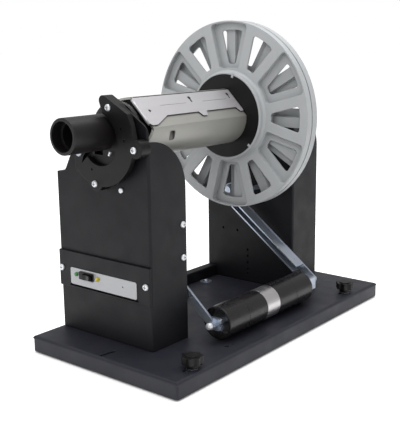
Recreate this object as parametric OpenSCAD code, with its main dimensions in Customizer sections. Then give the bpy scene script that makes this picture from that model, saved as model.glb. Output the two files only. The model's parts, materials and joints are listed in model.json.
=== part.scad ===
// Motor-driven label rewinder: a base pan with two folded housings, a core-holding
// mandrel with a spoked flange wheel between them, and a sprung dancer arm with a roller.
// X runs along the spindle, away from the control side. Y points to the back. Z is up.

/* [Base] */
// Length of the base pan along the spindle
base_l = 456; // [430:1:500]
// Depth of the base pan
base_w = 240; // [230:1:260]
// Height of the pan's folded edge
base_h = 20; // [14:0.5:30]
// Sheet thickness of the pan
base_t = 2; // [1:0.25:3]
// Outer radius of the pan's folded edges
base_bend_r = 4; // [3.5:0.5:8]
// Radius of a rubber foot
foot_r = 10; // [8:0.5:12]
// Height of the pan's lower edge above the bench
foot_lift = 2; // [1:0.5:8]
// Distance of a foot's centre from the pan's edges
foot_inset = 20; // [19:0.5:22]

/* [Spindle] */
// Height of the spindle's axis above the bench
spindle_z = 280; // [270:1:300]
// Distance of the spindle's axis behind the housings' front flanges
spindle_in = 64.2; // [62:0.2:68]
// Radius of the black handle tube
tube_r = 21; // [20:0.25:22]
// Wall of the handle tube
tube_wall = 3.6; // [2:0.1:5]
// How far the handle tube stands out past the end of the base
tube_overhang = 20; // [5:1:50]
// Radius of the mandrel that fills a 76 mm core
mandrel_r = 37; // [36.5:0.1:38]
// Wall of the mandrel
mandrel_wall = 3; // [2:0.25:4]
// Distance of the mandrel's flat from the spindle's axis
flat_d = 28; // [27:0.25:29]
// Radius of the steel drive shaft
shaft_r = 8; // [6:0.5:9]

/* [Clamp plate] */
// Thickness of the clamp plate
plate_t = 1.8; // [1:0.1:2.5]
// Travel of the clamp plate when it grips a core
clamp_travel = 1.5; // [0.5:0.1:2]
// Radius of the two guide posts
post_r = 2.5; // [1.5:0.25:3]

/* [Flange wheel] */
// Outer radius of the flange wheel
wheel_r = 128; // [110:1:140]
// Thickness of one of the two wheel halves
half_t = 11.6; // [11:0.1:15]
// Wall of the moulded wheel halves
wheel_wall = 2.6; // [1.6:0.1:3.5]
// Number of spokes
spokes = 12; // [10:2:12]
// Width of a spoke
spoke_w = 25; // [18:0.5:27]
// Distance of the windows from the foot of the collar
window_in = 5.5; // [5:0.25:12]
// Width of the wheel's rim outside the windows
rim_w = 12; // [10:0.5:18]
// Depth of the sunk bays in the wheel's face
bay_depth = 8; // [4:0.5:8.5]
// Radius of the concave flare between the collar and the wheel's face
flare_r = 5; // [2:0.25:6]
// How far the collar stands out of the wheel's face
collar_proud = 9; // [5:0.5:12]
// Radius of the black hub disc
hub_r = 56.7; // [56:0.1:58]

/* [Housings] */
// Sheet thickness of the housings
housing_t = 2; // [1.25:0.25:3]
// Outer radius of the housings' folded corners
housing_bend_r = 3; // [3:0.5:6]
// Depth of the housings from front flange to back flange
housing_w = 157.4; // [152:0.2:162]
// Width of the left housing along the spindle
left_w = 63.2; // [55:1:70]
// Width of the right housing along the spindle
right_w = 62.6; // [61:0.2:70]
// Distance of the left housing's face from the left end of the base
left_inset = 48.5; // [40:1:60]
// Distance of the right housing's back from the right end of the base
right_inset = 47.7; // [40:1:60]
// Drop of the housings' back shoulder below the spindle's axis
shoulder_drop = 55; // [52:0.5:60]
// Height of the flat top of the heads above the spindle's axis
head_rise = 36; // [34:0.5:40]

/* [Control cover] */
// Height of the control cover
cover_h = 46; // [36:1:60]
// How far the control cover stands out of the housing
cover_proud = 3; // [2:0.25:5]
// Width of the bright control plate
panel_w = 114.3; // [111:0.1:118]
// Height of the bright control plate
panel_h = 21.3; // [18:0.5:24]
// Radius of the two indicator lamps
lamp_r = 2.5; // [1.5:0.25:3]

/* [Drive] */
// Tooth size of the gear pair, pitch diameter divided by teeth
gear_module = 1; // [0.9:0.05:1.05]
// Teeth of the drive gear on the spindle
gear_teeth = 56; // [52:2:58]
// Teeth of the pinion on the motor
pinion_teeth = 16; // [16:1:18]
// Width of the gear faces
gear_face = 8; // [5:0.5:9]
// Radius of the drive motor
motor_r = 15; // [12:0.5:15]
// Length of the drive motor
motor_l = 13; // [10:0.5:13]

/* [Dancer] */
// Radius of the dancer roller
roller_r = 21; // [16:0.5:21.5]
// Width of the bright band in the middle of the roller
band_w = 27.5; // [15:0.5:40]
// Radius of the roller's shaft
roller_shaft_r = 4; // [3:0.25:4.25]
// Width of the right arm's channel
arm_w = 11; // [9:0.5:14]
// Depth of the right arm's channel
arm_depth = 19; // [10:0.5:20]
// Width of the flat left arm
flat_arm_w = 10.5; // [9:0.5:14]
// Distance of the arms' pivot behind the spindle's axis
pivot_back = 41; // [38:0.5:44]
// Drop of the arms' pivot below the spindle's axis
pivot_drop = 117; // [112:0.5:122]

/* [Knobs] */
// Outer radius of a star knob
knob_r = 13; // [10:0.5:16]
// Lobes of a star knob
knob_lobes = 7; // [5:1:9]
// Height of a knob's top above the base
knob_h = 16; // [12:0.5:20]
// Radius of the knob's stud
stud_r = 3; // [2:0.25:4]

/* [Hidden] */
$fn = 96;

// Overrun of a cut past the face that it opens
over = 1;
// Running clearance of a shaft in its bore
run_gap = 0.05;
// Clearance of a piece that is slid into its seat
slip_gap = 0.2;
// Clearance between pieces that pass each other
pass_gap = 0.3;

// Colours
steel = "#55575b";
black = "#1d1e20";
tube_black = "#2c2d2f";
alloy = "#b9bbbb";
wheel_grey = "#a9adaf";
zinc = "#c4c8cc";
board_green = "#2f5b3a";

// Levels and faces that several pieces share
base_top = foot_lift + base_h;
back_margin = 2.8;
housing_y1 = base_w / 2 - back_margin;
housing_y0 = housing_y1 - housing_w;
spindle_y = housing_y0 + spindle_in;
base_mid_x = tube_overhang / 2;
base_mid_y = (base_w / 2 - spindle_y - wheel_r) / 2;
left_x0 = left_inset - base_l / 2;
left_x1 = left_x0 + left_w;
right_x1 = base_l / 2 - right_inset;
right_x0 = right_x1 - right_w;
tube_x0 = -base_l / 2 - tube_overhang;

// Housing heads: the sloping edge on the front, the horn behind the spindle's mouth
front_slope = 33;
head_z = spindle_z + head_rise;
shoulder_z = spindle_z - shoulder_drop;
edge_rise = 6.7;
front_edge_z = spindle_z + edge_rise;
front_r = 14;
slope_r = 6;
plain_r = 12;
plain_drop = 6;
horn_r = 3;
horn_w = 8;
fillet_r = 10;
horn_slope = 61;
horn_foot_in = 78;
horn_foot_y = spindle_y + horn_foot_in;
horn_rise = 10;
horn_z = spindle_z + horn_rise;
mouth_angle = 60;
mouth_gap = 3.5;
mouth_r = tube_r + mouth_gap;
left_arch_drop = 68;
left_arch_z = spindle_z - left_arch_drop;
right_arch_drop = 52;
right_arch_z = spindle_z - right_arch_drop;
arch_back = 4;

// Bearing block: two plates on the left housing's face, outlines measured from the spindle
block_front_t = 6.4;
block_back_t = 8;
block_back_x = left_x0 - block_back_t;
block_x0 = block_back_x - block_front_t;
block_r = 53.5;
block_back_r = 47.5;
block_mid = [-1.5, -10];
block_arm_gap = 8;
block_arm_r = tube_r + block_arm_gap;
block_screw_places = [[-17.8, 29.2], [-56.2, -16.7], [8.4, -61]];
lobe_places = [[-58.5, -15.5], [6.5, -59]];
lobe_r = 10.5;
front_edge = [
    [1.9, 49.4, 6], [-47.2, 23.3, 4], [-52.8, 11.5, 0], [-56.7, -5.4, 0], [-30, -10, 0], [-11.4, 12.4, 0]
];
back_edge = [
    [1.9, 49.4, 6], [-28, 33.5, 6], [-43.7, 17.6, 4], [-46.3, 6.5, 0], [-48.9, -6.9, 0], [-20, -8, 0],
    [-11.4, 12.4, 0]
];
block_marks = [[-41, -7], [13, -44], [-36, 6]];
mark_r = 1.3;
mark_d = 3;
notch_w = 14;
notch_h = 6;
throat_gap = 2.3;
lower_arm_angle = -42;

// Latch that closes the mouth behind the tube
latch_t = 6.6;
latch_at = [42, -27];
latch_y = spindle_y + latch_at.x;
latch_z = spindle_z + latch_at.y;
latch_pin_r = 3;
latch_boss_r = 8;
latch_tail = [3.5, -20];
latch_tail_r = 4;
latch_jaw_w = 8;
latch_neck_r = 4;
latch_washer_r = 5;

// Collar between the left housing and the mandrel
end_collar_r = 40;
collar_gap = 5.6;
end_collar_x0 = left_x0 + housing_t + collar_gap;
collar_l = 16;
end_collar_x1 = end_collar_x0 + collar_l;
end_collar_flange = 5;
end_collar_neck_r = 33;
collar_neck_in = 4;

// Mandrel
mandrel_in = 29.5;
mandrel_x0 = left_x0 + mandrel_in;
flat_in = 10;
mandrel_flat_x0 = mandrel_x0 + flat_in;
wheel_in = 65.3;
wheel_x0 = right_x0 - wheel_in;
mandrel_x1 = wheel_x0 - collar_proud;
end_disc_t = 8;
slot_in = 44;
slot_x = mandrel_x0 + slot_in;
slot_w = 10.5;
slot_h = 12;
slot_dz = -9.5;

// Clamp plate outline, along the spindle and across the flat
plate_over = 3;
plate_x0 = mandrel_flat_x0 - plate_over;
plate_x1 = mandrel_x1 - pass_gap;
plate_side = 2.7;
plate_corner = sqrt(mandrel_r * mandrel_r - flat_d * flat_d) - plate_side;
plate_step = 12;
plate_front = plate_corner - plate_step;
plate_foot = 12;
plate_r = 1.5;
ramp_r = 4;
plate_ramp = 26;
tab_w = 8;
tab_drop = 7;
mid_tab_in = 81;
mid_tab_x = plate_x1 - mid_tab_in;
tab_r = 2;
lip_r = 2;
plate_hole_in = 14;
keyhole_r = 1.6;
keyhole_ins = [88.5, 9.5];
keyhole_xs = [for (q = keyhole_ins) plate_x1 - q];
keyhole_low = 9.5;
keyhole_v = plate_corner - keyhole_low;
post_shares = [0.19, 0.84];
post_xs = [for (q = post_shares) plate_x0 + q * (plate_x1 - plate_x0)];
post_head_r = 4.5;
post_head_t = 1;
score_w = 0.6;
score_v = 6;
score_l = 57;
score_ins = [37, 68];
score_xs = [plate_x0 + score_ins[0], plate_x1 - score_ins[1]];

// Hub and wheel
hub_plate_t = 4;
collar_r = hub_r + pass_gap / 2 + wheel_wall;
collar_foot_r = collar_r + flare_r;
window_in_r = collar_foot_r + window_in;
window_out_r = wheel_r - rim_w;
hub_boss_r = 15;
hub_ribs = 6;
wheel_mid_x = wheel_x0 + half_t;
lug_angles = [13.7, 132.8, 253];
lug_w = 3.4;
lug_reach = 3;
lug_t = 0.8;
bay_edge = 2;
bay_in = 0.5;
bay_floor_t = 2.2;
lip_in = 0.8;
flare_sink = 0.4;
bay_side = 2.4;
bay_corner = 5;
window_corner = 4;
rim_groove = 1;

// Drive train behind the right housing's web
web_in_x = right_x0 + housing_t;
gear_in = 5.3;
gear_x0 = web_in_x + gear_in;
gear_x1 = gear_x0 + gear_face;
centre_d = gear_module * (gear_teeth + pinion_teeth) / 2;
pinion_z = spindle_z - centre_d;
gear_r = gear_module * gear_teeth / 2;
gear_gap = 3;
bracket_x0 = gear_x1 + gear_gap;
bracket_t = 3;
bracket_w = 2 * gear_r;
bracket_r = 6;
gearbox_r = 19;
gearbox_l = 12;
motor_edge_r = 1.5;
motor_shaft_r = 2.5;
bearing_r = 15;
bearing_flange_r = 18;
bearing_flange_t = 2;
rear_bearing_r = 12;
rear_bearing_l = 6;
bearing_plate_l = 6;
cap_t = 1.5;
post_in_r = 4;

// Dancer
roller_reach = 100;
roller_y = spindle_y - roller_reach;
roller_gap = 1.5;
roller_z = base_top + roller_r + roller_gap;
roller_left = 13.3;
roller_x0 = left_x1 + roller_left;
roller_right = 34.7;
roller_x1 = right_x0 - roller_right;
roller_l = roller_x1 - roller_x0;
roller_mid_x = (roller_x0 + roller_x1) / 2;
sleeve_wall = 3;
sleeve_edge = 0.5;
core_over = 2;
seam_w = 0.6;
seam_d = 0.5;
seam_share = 0.5;
pivot_y = spindle_y + pivot_back;
pivot_z = spindle_z - pivot_drop;
arm_t = 2;
arm_right = 12.7;
right_arm_x1 = right_x0 - arm_right;
right_arm_x0 = right_arm_x1 - arm_depth;
arm_boss = 1;
left_arm_t = 3;
arm_left = 3.3;
left_arm_x0 = left_x1 + arm_left;
left_arm_x1 = left_arm_x0 + left_arm_t;
left_boss = 2;
arm_end_at = [-8, 30];
arm_end = [roller_y, base_top] + arm_end_at;
pivot_r = 4;
pivot_bush_r = 6;
pivot_head_r = 6;
pivot_head_t = 3;
pivot_thread = 2;
block_gap = 0.6;
end_low = 7;
end_high = 8;
end_wide = 5;
end_r = 2;
bearing_w = 6;
bearing_in = 16;
bolt_af_r = 3.6;
bolt_head_t = 2.6;
bolt_dzs = [-3.5, 4.5];
nut_r = 5;
shaft_head_r = 5.5;
shaft_head_t = 2.6;
shaft_thread = 7;
stop_at = [-6.3, 7.9];
stop_y = spindle_y + stop_at.x;
stop_z = pivot_z + stop_at.y;
stop_r = 3.5;
stop_l = 20;

// Spring on the right pivot
wire_r = 1;
coil_r = 8.8;
coil_pitch = 2.55;
coil_rings = 8;
wire_sides = 6;

// Knobs, their slots and nuts
base_corner = -[base_l, base_w] / 2;
front_knob_in = [42.4, 14.5];
front_knob = base_corner + front_knob_in;
right_knob_in = [-69, 15.5];
right_knob = [base_l, -base_w] / 2 + right_knob_in;
knob_top_share = 0.62;
knob_edge = 1;
stud_end = 2;
knob_slot_reach = 15;
washer_r = 7.5;
washer_t = 1;
nut_half = 9;
nut_t = 4;
knob_head_h = 10;
knob_hub_r = 8;

// Screws
pan_r = 4;
pan_h = 2.6;
screw_r = 1.8;
cross_w = 1.1;
cross_l = 4.4;
cross_d = 1.3;

// Control side
cover_rise = 57;
cover_z0 = base_top + cover_rise;
cover_t = 1.5;
cover_x0 = left_x0 - cover_proud;
panel_in = 20.9;
panel_y0 = housing_y0 + panel_in;
panel_rise = 4.7;
panel_z0 = cover_z0 + panel_rise;
panel_t = 0.6;
panel_r = 2.5;
cover_edge = 1;
cover_slot_h = 2.6;
cover_slot_end = 2;
lamp_rise = 13.7;
lamp_z = panel_z0 + lamp_rise;
lamp_dome = 1;
lamp_flange = 0.4;
lamp_neck = 3;
green_in = 103.2;
green_y = panel_y0 + green_in;
yellow_in = 65.4;
yellow_y = panel_y0 + yellow_in;
web_window_room = 3;
switch_in = 72.7;
switch_y0 = panel_y0 + switch_in;
switch_w = 24.7;
switch_y1 = switch_y0 + switch_w;
switch_rise = 8.9;
switch_z0 = panel_z0 + switch_rise;
switch_h = 9.7;
switch_rim = 1.5;
bezel_t = 2;
bezel_r = 0.8;
rocker_w = 15.5;
rocker_proud = 4.8;
rocker_dip = 1.6;
rocker_angle = 6;
rocker_pocket = 3;
rocker_y0 = switch_y0 + switch_rim;
rocker_mid_y = rocker_y0 + rocker_w / 2;
rocker_x = cover_x0 - panel_t - bezel_t / 2;
rocker_pin_r = 0.6;
rocker_pin_in = 0.6;
reset_at = [22.9, -2];
reset_hole = [panel_y0, lamp_z] + reset_at;
reset_hole_r = 0.9;
board_in = 10;
board_x0 = left_x0 + board_in;
board_t = 1.6;
board_left = 37.3;
board_y0 = panel_y0 + board_left;
board_w = 90;
board_y1 = board_y0 + board_w;
board_h = 40;
inlet_at = [30, 32];
inlet_x = left_x0 + inlet_at.x;
inlet_z = base_top + inlet_at.y;
inlet_r = 6;
inlet_l = 16;
inlet_floor = 3;
inlet_nut_r = 9;
inlet_nut_t = 2.5;

// Rear rail
rail_w = 16.2;
rail_y0 = housing_y1 - rail_w;
rail_h = 16;
rail_t = 1.5;
rail_bend_r = 2.5;
rail_screw_in = 39;
rail_screw_xs = [left_x1 + rail_screw_in, right_x0 - rail_screw_in];
rail_screw_gap = 10.5;
rail_screw_y = rail_y0 - rail_screw_gap;
rail_washer_r = 9;

// Direction of a vector
function unit(v) = v / norm(v);

// The same angle between -180 and 180 degrees
function wrapped(a) = (a + 540) % 360 - 180;

// Points of the arc that rounds corner b, on the way from a to c
function corner_arc(a, b, c, r) = r <= 0 ? [b] : let(
    u = unit(a - b),
    w = unit(c - b),
    half = acos(u * w) / 2,
    mid = b + unit(u + w) * r / sin(half),
    from = b + u * r / tan(half) - mid,
    to = b + w * r / tan(half) - mid,
    start = atan2(from.y, from.x),
    sweep = wrapped(atan2(to.y, to.x) - start),
    steps = max(2, ceil(abs(sweep) / 10))
) [for (i = [0:steps]) mid + r * [cos(start + sweep * i / steps), sin(start + sweep * i / steps)]];

// Outline with rounded corners, each corner given as [x, y, radius]
function rounded(pts) = let(n = len(pts)) [
    for (i = [0:n - 1])
        let(a = pts[(i + n - 1) % n], b = pts[i], c = pts[(i + 1) % n])
        each corner_arc([a.x, a.y], [b.x, b.y], [c.x, c.y], b.z)
];

// Outline round two circles and their outer tangents
function link_pts(p, rp, q, rq) = let(
    dir = atan2(q.y - p.y, q.x - p.x),
    lean = asin((rp - rq) / norm(q - p)),
    steps = 12
) concat(
    [for (i = [0:steps])
        let(a = dir + 90 - lean + i / steps * (180 + 2 * lean)) p + rp * [cos(a), sin(a)]],
    [for (i = [0:steps])
        let(a = dir - 90 + lean + i / steps * (180 - 2 * lean)) q + rq * [cos(a), sin(a)]]
);

// Rectangle from one corner to the other with rounded corners
function box_pts(p, q, r) = rounded([[p.x, p.y, r], [q.x, p.y, r], [q.x, q.y, r], [p.x, q.y, r]]);

// Stretch a drawing in Y and Z along X
module along_x(x0, x1) {
    translate([x0, 0, 0]) rotate([90, 0, 90]) linear_extrude(x1 - x0) children();
}

// Stretch a drawing in X and Z along Y
module along_y(y0, y1) {
    translate([0, y1, 0]) rotate([90, 0, 0]) linear_extrude(y1 - y0) children();
}

// Stretch a drawing in X and Y along Z
module along_z(z0, z1) {
    translate([0, 0, z0]) linear_extrude(z1 - z0) children();
}

// Round bar along X
module bar_x(x0, x1, r) {
    translate([x0, 0, 0]) rotate([0, 90, 0]) cylinder(h = x1 - x0, r = r);
}

// Cutter for a round hole along X from face x0 to face x1
module bore_x(y, z, x0, x1, r) {
    translate([0, y, z]) bar_x(x0 - over, x1 + over, r);
}

// Round bar along Y
module bar_y(y0, y1, r) {
    translate([0, y0, 0]) rotate([-90, 0, 0]) cylinder(h = y1 - y0, r = r);
}

// Solid of revolution about X, drawn as [radius, x]
module turned_x() {
    rotate([0, 90, 0]) rotate_extrude() children();
}

// From the middle of the base to the part's own origin
module on_base() {
    translate([base_mid_x, base_mid_y, 0]) children();
}

// From the spindle's axis to the base
module on_spindle() {
    on_base() translate([0, spindle_y, spindle_z]) children();
}

// Pan-head screw with a cross recess: its head's seat is at the origin, its shank runs down
module pan_screw(shank) {
    difference() {
        union() {
            rotate_extrude() polygon(rounded([
                [0, 0, 0], [pan_r, 0, 0], [pan_r, pan_h, pan_h * 0.7], [0, pan_h, 0]
            ]));
            translate([0, 0, -shank]) cylinder(h = shank, r = screw_r);
        }
        for (a = [0, 90])
            rotate([0, 0, a])
                translate([-cross_l / 2, -cross_w / 2, pan_h - cross_d])
                    cube([cross_l, cross_w, cross_d + over]);
    }
}

// Pan-head screw whose head stands out towards -X
module pan_screw_x(shank) {
    rotate([0, -90, 0]) pan_screw(shank);
}

// Hexagon bolt head towards -Y with its seat at the origin
module hex_head_y() {
    rotate([90, 30, 0]) cylinder(h = bolt_head_t, r = bolt_af_r, $fn = 6);
}

// Base pan

module pan_block(l, w, h, r) {
    intersection() {
        along_x(-l / 2, l / 2) polygon(rounded([[-w / 2, 0, 0], [w / 2, 0, 0], [w / 2, h, r], [-w / 2, h, r]]));
        along_y(-w / 2, w / 2) polygon(rounded([[-l / 2, 0, 0], [l / 2, 0, 0], [l / 2, h, r], [-l / 2, h, r]]));
    }
}

module knob_slot(place) {
    translate([place.x, place.y, base_top - base_t - over])
        linear_extrude(base_t + 2 * over)
            polygon(link_pts(
                [-knob_slot_reach + stud_r, 0], stud_r + pass_gap,
                [knob_slot_reach - stud_r, 0], stud_r + pass_gap
            ));
}

cord_slot_in = [[6.4, 2.5], [23, 0]];
cord_slot = [for (p = cord_slot_in) p - [base_l / 2, 0]];
cord_slot_r = 2.5;
top_hole_in = [117.3, 23.4];
top_hole = base_corner + top_hole_in;
top_hole_r = 2.8;
rivet_ins = [[126.8, 21.5], [144.7, 19.7]];
rivet_holes = [for (p = rivet_ins) base_corner + p];
rivet_r = 1.2;
foot_edge_r = 1;
corner_slit = 1.6;

module base_plate() color(steel) on_base() difference() {
    translate([0, 0, foot_lift]) difference() {
        pan_block(base_l, base_w, base_h, base_bend_r);
        translate([0, 0, -over])
            pan_block(base_l - 2 * base_t, base_w - 2 * base_t, base_h - base_t + over, base_bend_r - base_t);
    }
    for (sx = [-1, 1], sy = [-1, 1])
        translate([sx * base_l / 2, sy * base_w / 2, foot_lift - over])
            rotate([0, 0, 45])
                translate([-corner_slit / 2, -corner_slit / 2, 0] * 2)
                    cube([corner_slit * 2, corner_slit * 2, base_h - base_bend_r + over]);
    knob_slot(front_knob);
    knob_slot(right_knob);
    along_z(base_top - base_t - over, base_top + over)
        polygon(link_pts(cord_slot[0], cord_slot_r, cord_slot[1], cord_slot_r));
    translate([top_hole.x, top_hole.y, base_top - base_t - over])
        cylinder(h = base_t + 2 * over, r = top_hole_r);
    for (p = rivet_holes)
        translate([p.x, p.y, base_top - base_t - over]) cylinder(h = base_t + 2 * over, r = rivet_r);
}

module rubber_feet() color(black) on_base()
    for (sx = [-1, 1], sy = [-1, 1])
        translate([sx * (base_l / 2 - foot_inset), sy * (base_w / 2 - foot_inset), 0])
            rotate_extrude() polygon(rounded([
                [0, 0, 0], [foot_r, 0, foot_edge_r], [foot_r, base_top - base_t, 0], [0, base_top - base_t, 0]
            ]));

// Housings

// Where the mouth's edge lies at height z: side 1 is the upper edge, side -1 the lower one
function mouth_edge_y(side, z) = let(
    py = spindle_y - side * mouth_r * sin(mouth_angle),
    pz = spindle_z + side * mouth_r * cos(mouth_angle)
) py + (z - pz) / tan(mouth_angle);

// Outline of a housing's web, with the horn behind the mouth only where with_horn is true
module head_outline(with_horn) {
    slope_y = function (z) housing_y0 + (z - front_edge_z) / tan(front_slope);
    horn_y = function (z) horn_foot_y - (z - shoulder_z) / tan(horn_slope);
    top_y = mouth_edge_y(1, head_z);
    plain_z = head_z - plain_drop;
    polygon(rounded(concat(
        [[housing_y0, base_top, 0], [housing_y1, base_top, 0], [housing_y1, shoulder_z, housing_bend_r]],
        [[horn_foot_y, shoulder_z, fillet_r]],
        with_horn
            ? [[horn_y(horn_z), horn_z, horn_r], [mouth_edge_y(-1, horn_z) - horn_w, horn_z, 0],
                [top_y + horn_r, head_z, 0]]
            : [[horn_y(plain_z), plain_z, plain_r]],
        with_horn
            ? [[slope_y(head_z), head_z, slope_r], [housing_y0, front_edge_z, front_r]]
            : [[slope_y(plain_z), plain_z, plain_r], [housing_y0, front_edge_z, front_r]]
    )));
}

// Outline of the front and back flanges: the arch falls away from the web
module flange_outline(x0, x1, arch_z) {
    translate([x0, base_top]) square([x1 - x0, arch_z - base_top]);
    translate([x0, base_top]) square([housing_t, head_z + over - base_top]);
    intersection() {
        translate([x0 + arch_back, arch_z]) circle(r = x1 - x0 - arch_back);
        translate([x0, arch_z - over]) square([x1 - x0, x1 - x0]);
    }
}

// Folded sheet: a web with two flanges and a foot flange on the base
module folded_housing(x0, x1, arch_z, with_horn) {
    intersection() {
        difference() {
            along_z(base_top, head_z + over) polygon(rounded([
                [x0, housing_y0, housing_bend_r], [x1, housing_y0, 0],
                [x1, housing_y1, 0], [x0, housing_y1, housing_bend_r]
            ]));
            along_z(base_top - over, head_z + 2 * over) polygon(rounded([
                [x0 + housing_t, housing_y0 + housing_t, housing_bend_r - housing_t],
                [x1 + over, housing_y0 + housing_t, 0],
                [x1 + over, housing_y1 - housing_t, 0],
                [x0 + housing_t, housing_y1 - housing_t, housing_bend_r - housing_t]
            ]));
        }
        along_x(x0 - over, x1 + over) head_outline(with_horn);
        along_y(housing_y0 - over, housing_y1 + over) flange_outline(x0, x1, arch_z);
    }
    translate([x0 + housing_t / 2, housing_y0 + housing_t / 2, base_top])
        cube([foot_flange_w, housing_w - housing_t, housing_t]);
}

foot_flange_w = 20;

module left_housing() color(steel) on_base() difference() {
    folded_housing(left_x0, left_x1, left_arch_z, true);
    translate([0, spindle_y, spindle_z]) {
        bar_x(left_x0 - over, left_x0 + housing_t + over, mouth_r);
        rotate([mouth_angle, 0, 0])
            translate([left_x0 - over, 0, -mouth_r])
                cube([housing_t + 2 * over, head_z, 2 * mouth_r]);
    }
    along_x(left_x0 - over, left_x0 + housing_t + over) polygon(box_pts(
        [yellow_y - 2 * web_window_room, switch_z0 - web_window_room],
        [green_y + 2 * web_window_room, switch_z0 + switch_h + web_window_room], web_window_room / 2
    ));
    for (p = block_screw_places)
        bore_x(spindle_y + p.x, spindle_z + p.y, left_x0, left_x0 + housing_t, screw_r + slip_gap);
    for (y = cover_screw_ys)
        bore_x(y, cover_screw_z, left_x0, left_x0 + housing_t, screw_r + slip_gap);
    bore_x(latch_y, latch_z, left_x0, left_x0 + housing_t, latch_pin_r);
    bore_x(stud_y, stud_z, left_x0, left_x0 + housing_t, screw_r);
    for (z = side_screw_zs)
        translate([left_side_x, 0, z]) bar_y(housing_y0 - over, housing_y0 + housing_t + over, screw_r + slip_gap);
    translate([inlet_x, 0, inlet_z])
        bar_y(housing_y1 - housing_t - over, housing_y1 + over, inlet_r + slip_gap);
}

stud_at = [-20, -68];
stud_y = spindle_y + stud_at.x;
stud_z = spindle_z + stud_at.y;
side_screw_drops = [86.1, 45.2];
side_screw_zs = [for (q = side_screw_drops) left_arch_z - q];
side_screw_in = 6.3;
left_side_x = left_x1 - side_screw_in;
cover_screw_in = 6.3;
cover_screw_ys = [housing_y0 + cover_screw_in, housing_y1 - cover_screw_in];
cover_screw_z = cover_z0 + cover_h / 2;
inner_tab_w = 14;

// Cover that closes the left housing towards the roll: an L of sheet with a screw tab
module left_inner_cover() color(steel) on_base() difference() {
    union() {
        along_y(housing_y0 + housing_t + slip_gap, housing_y1 - housing_t - slip_gap) polygon(rounded([
            [left_x1 - housing_t, base_top, 0], [left_x1, base_top, 0],
            [left_x1, shoulder_z, housing_bend_r], [left_x0 + housing_t, shoulder_z, 0],
            [left_x0 + housing_t, shoulder_z - housing_t, 0],
            [left_x1 - housing_t, shoulder_z - housing_t, housing_bend_r - housing_t]
        ]));
        translate([left_x1 - inner_tab_w, housing_y0 + housing_t + slip_gap, side_screw_zs[0] - inner_tab_w])
            cube([inner_tab_w - housing_t / 2, housing_t,
                side_screw_zs[1] - side_screw_zs[0] + 2 * inner_tab_w]);
    }
    for (z = side_screw_zs)
        translate([left_side_x, 0, z]) bar_y(housing_y0, housing_y0 + 3 * housing_t, screw_r);
    bore_x(pivot_y, pivot_z, left_x1 - housing_t, left_x1, pivot_r);
}

module right_housing() color(steel) on_base() difference() {
    folded_housing(right_x0, right_x1, right_arch_z, false);
    bore_x(spindle_y, spindle_z, right_x0, web_in_x, bearing_r);
    bore_x(pivot_y, pivot_z, right_x0, web_in_x, pivot_r);
    bore_x(stop_y, stop_z, right_x0, web_in_x, screw_r);
    for (p = web_holes) bore_x(p.x, p.y, right_x0, web_in_x, web_hole_r);
}

web_hole_r = 1.8;
web_hole_ins = [
    [126.2, 77.8], [99.2, 77.3], [80.2, 49.7], [80.2, 39.6], [80.2, 29.5], [80.2, 18.9], [80.2, 13.1]
];
web_holes = [for (p = web_hole_ins) [housing_y0, base_top] + p];

// Cover on the back of the right housing: it follows the arch between the flanges
module right_cover() color(steel) on_base() difference() {
    arch_r = right_w - arch_back;
    y0 = housing_y0 + housing_t + slip_gap;
    y1 = housing_y1 - housing_t - slip_gap;
    intersection() {
        along_y(y0, y1) difference() {
            flange_outline(right_x0, right_x1, right_arch_z);
            translate([-housing_t, 0]) flange_outline(right_x0, right_x1, right_arch_z - housing_t);
            translate([right_x0 - over, base_top - over])
                square([right_w / 2, right_arch_z + over - base_top]);
            translate([right_x0 - over, base_top]) square([housing_t + over + slip_gap, head_z]);
        }
        along_x(right_x0, right_x1 + over) head_outline(false);
    }
    translate([web_in_x, cap_y0 - slip_gap, right_arch_z])
        cube([cap_x1 + slip_gap - web_in_x, cap_y1 - cap_y0 + 2 * slip_gap, arch_r + over]);
}

cap_front = 4;
cap_y0 = spindle_y - gear_r - cap_front;
cap_back = 6;
cap_y1 = spindle_y + gear_r + cap_back;
cap_over = 7;
cap_x1 = bracket_x0 + bracket_t + cap_over;
cap_low = 5;
cap_z0 = pinion_z + gearbox_r + cap_low;
cap_z1 = spindle_z + gear_r + gear_module + pass_gap + 2 * cap_t;
cap_r = 4;

// Cap over the gear pair, on the back of the right housing's head
module drive_cap() color(black) on_base() difference() {
    along_x(web_in_x, cap_x1) polygon(box_pts([cap_y0, cap_z0], [cap_y1, cap_z1], cap_r));
    along_x(web_in_x - over, cap_x1 - cap_t)
        polygon(box_pts([cap_y0 + cap_t, cap_z0 + cap_t], [cap_y1 - cap_t, cap_z1 - cap_t], cap_r - cap_t));
    along_x(web_in_x - over, cap_x1 + over)
        polygon(box_pts([cap_y0 + cap_t, cap_z0 - over], [cap_y1 - cap_t, cap_z0 + 2 * cap_t], 0));
}

trim_rise = 48;
trim_z0 = base_top + trim_rise;
trim_h = 44;
trim_t = 3.7;
trim_r = 1.5;

// Flat trim on the back of the right cover
module right_trim() color(black) on_base()
    along_y(housing_y0 + 2 * housing_t, housing_y1 - 2 * housing_t) polygon(rounded([
        [right_x1, trim_z0, 0], [right_x1 + trim_t, trim_z0, trim_r],
        [right_x1 + trim_t, trim_z0 + trim_h, trim_r], [right_x1, trim_z0 + trim_h, 0]
    ]));

module rear_rail() color(steel) on_base() difference() {
    rail_z1 = base_top + rail_h;
    along_x(left_x1, right_x0) polygon(rounded([
        [rail_y0, base_top, 0], [rail_y0 + rail_t, base_top, 0],
        [rail_y0 + rail_t, rail_z1 - rail_t, rail_bend_r - rail_t],
        [housing_y1 - rail_t, rail_z1 - rail_t, rail_bend_r - rail_t],
        [housing_y1 - rail_t, base_top, 0], [housing_y1, base_top, 0],
        [housing_y1, rail_z1, rail_bend_r], [rail_y0, rail_z1, rail_bend_r]
    ]));
}

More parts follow.
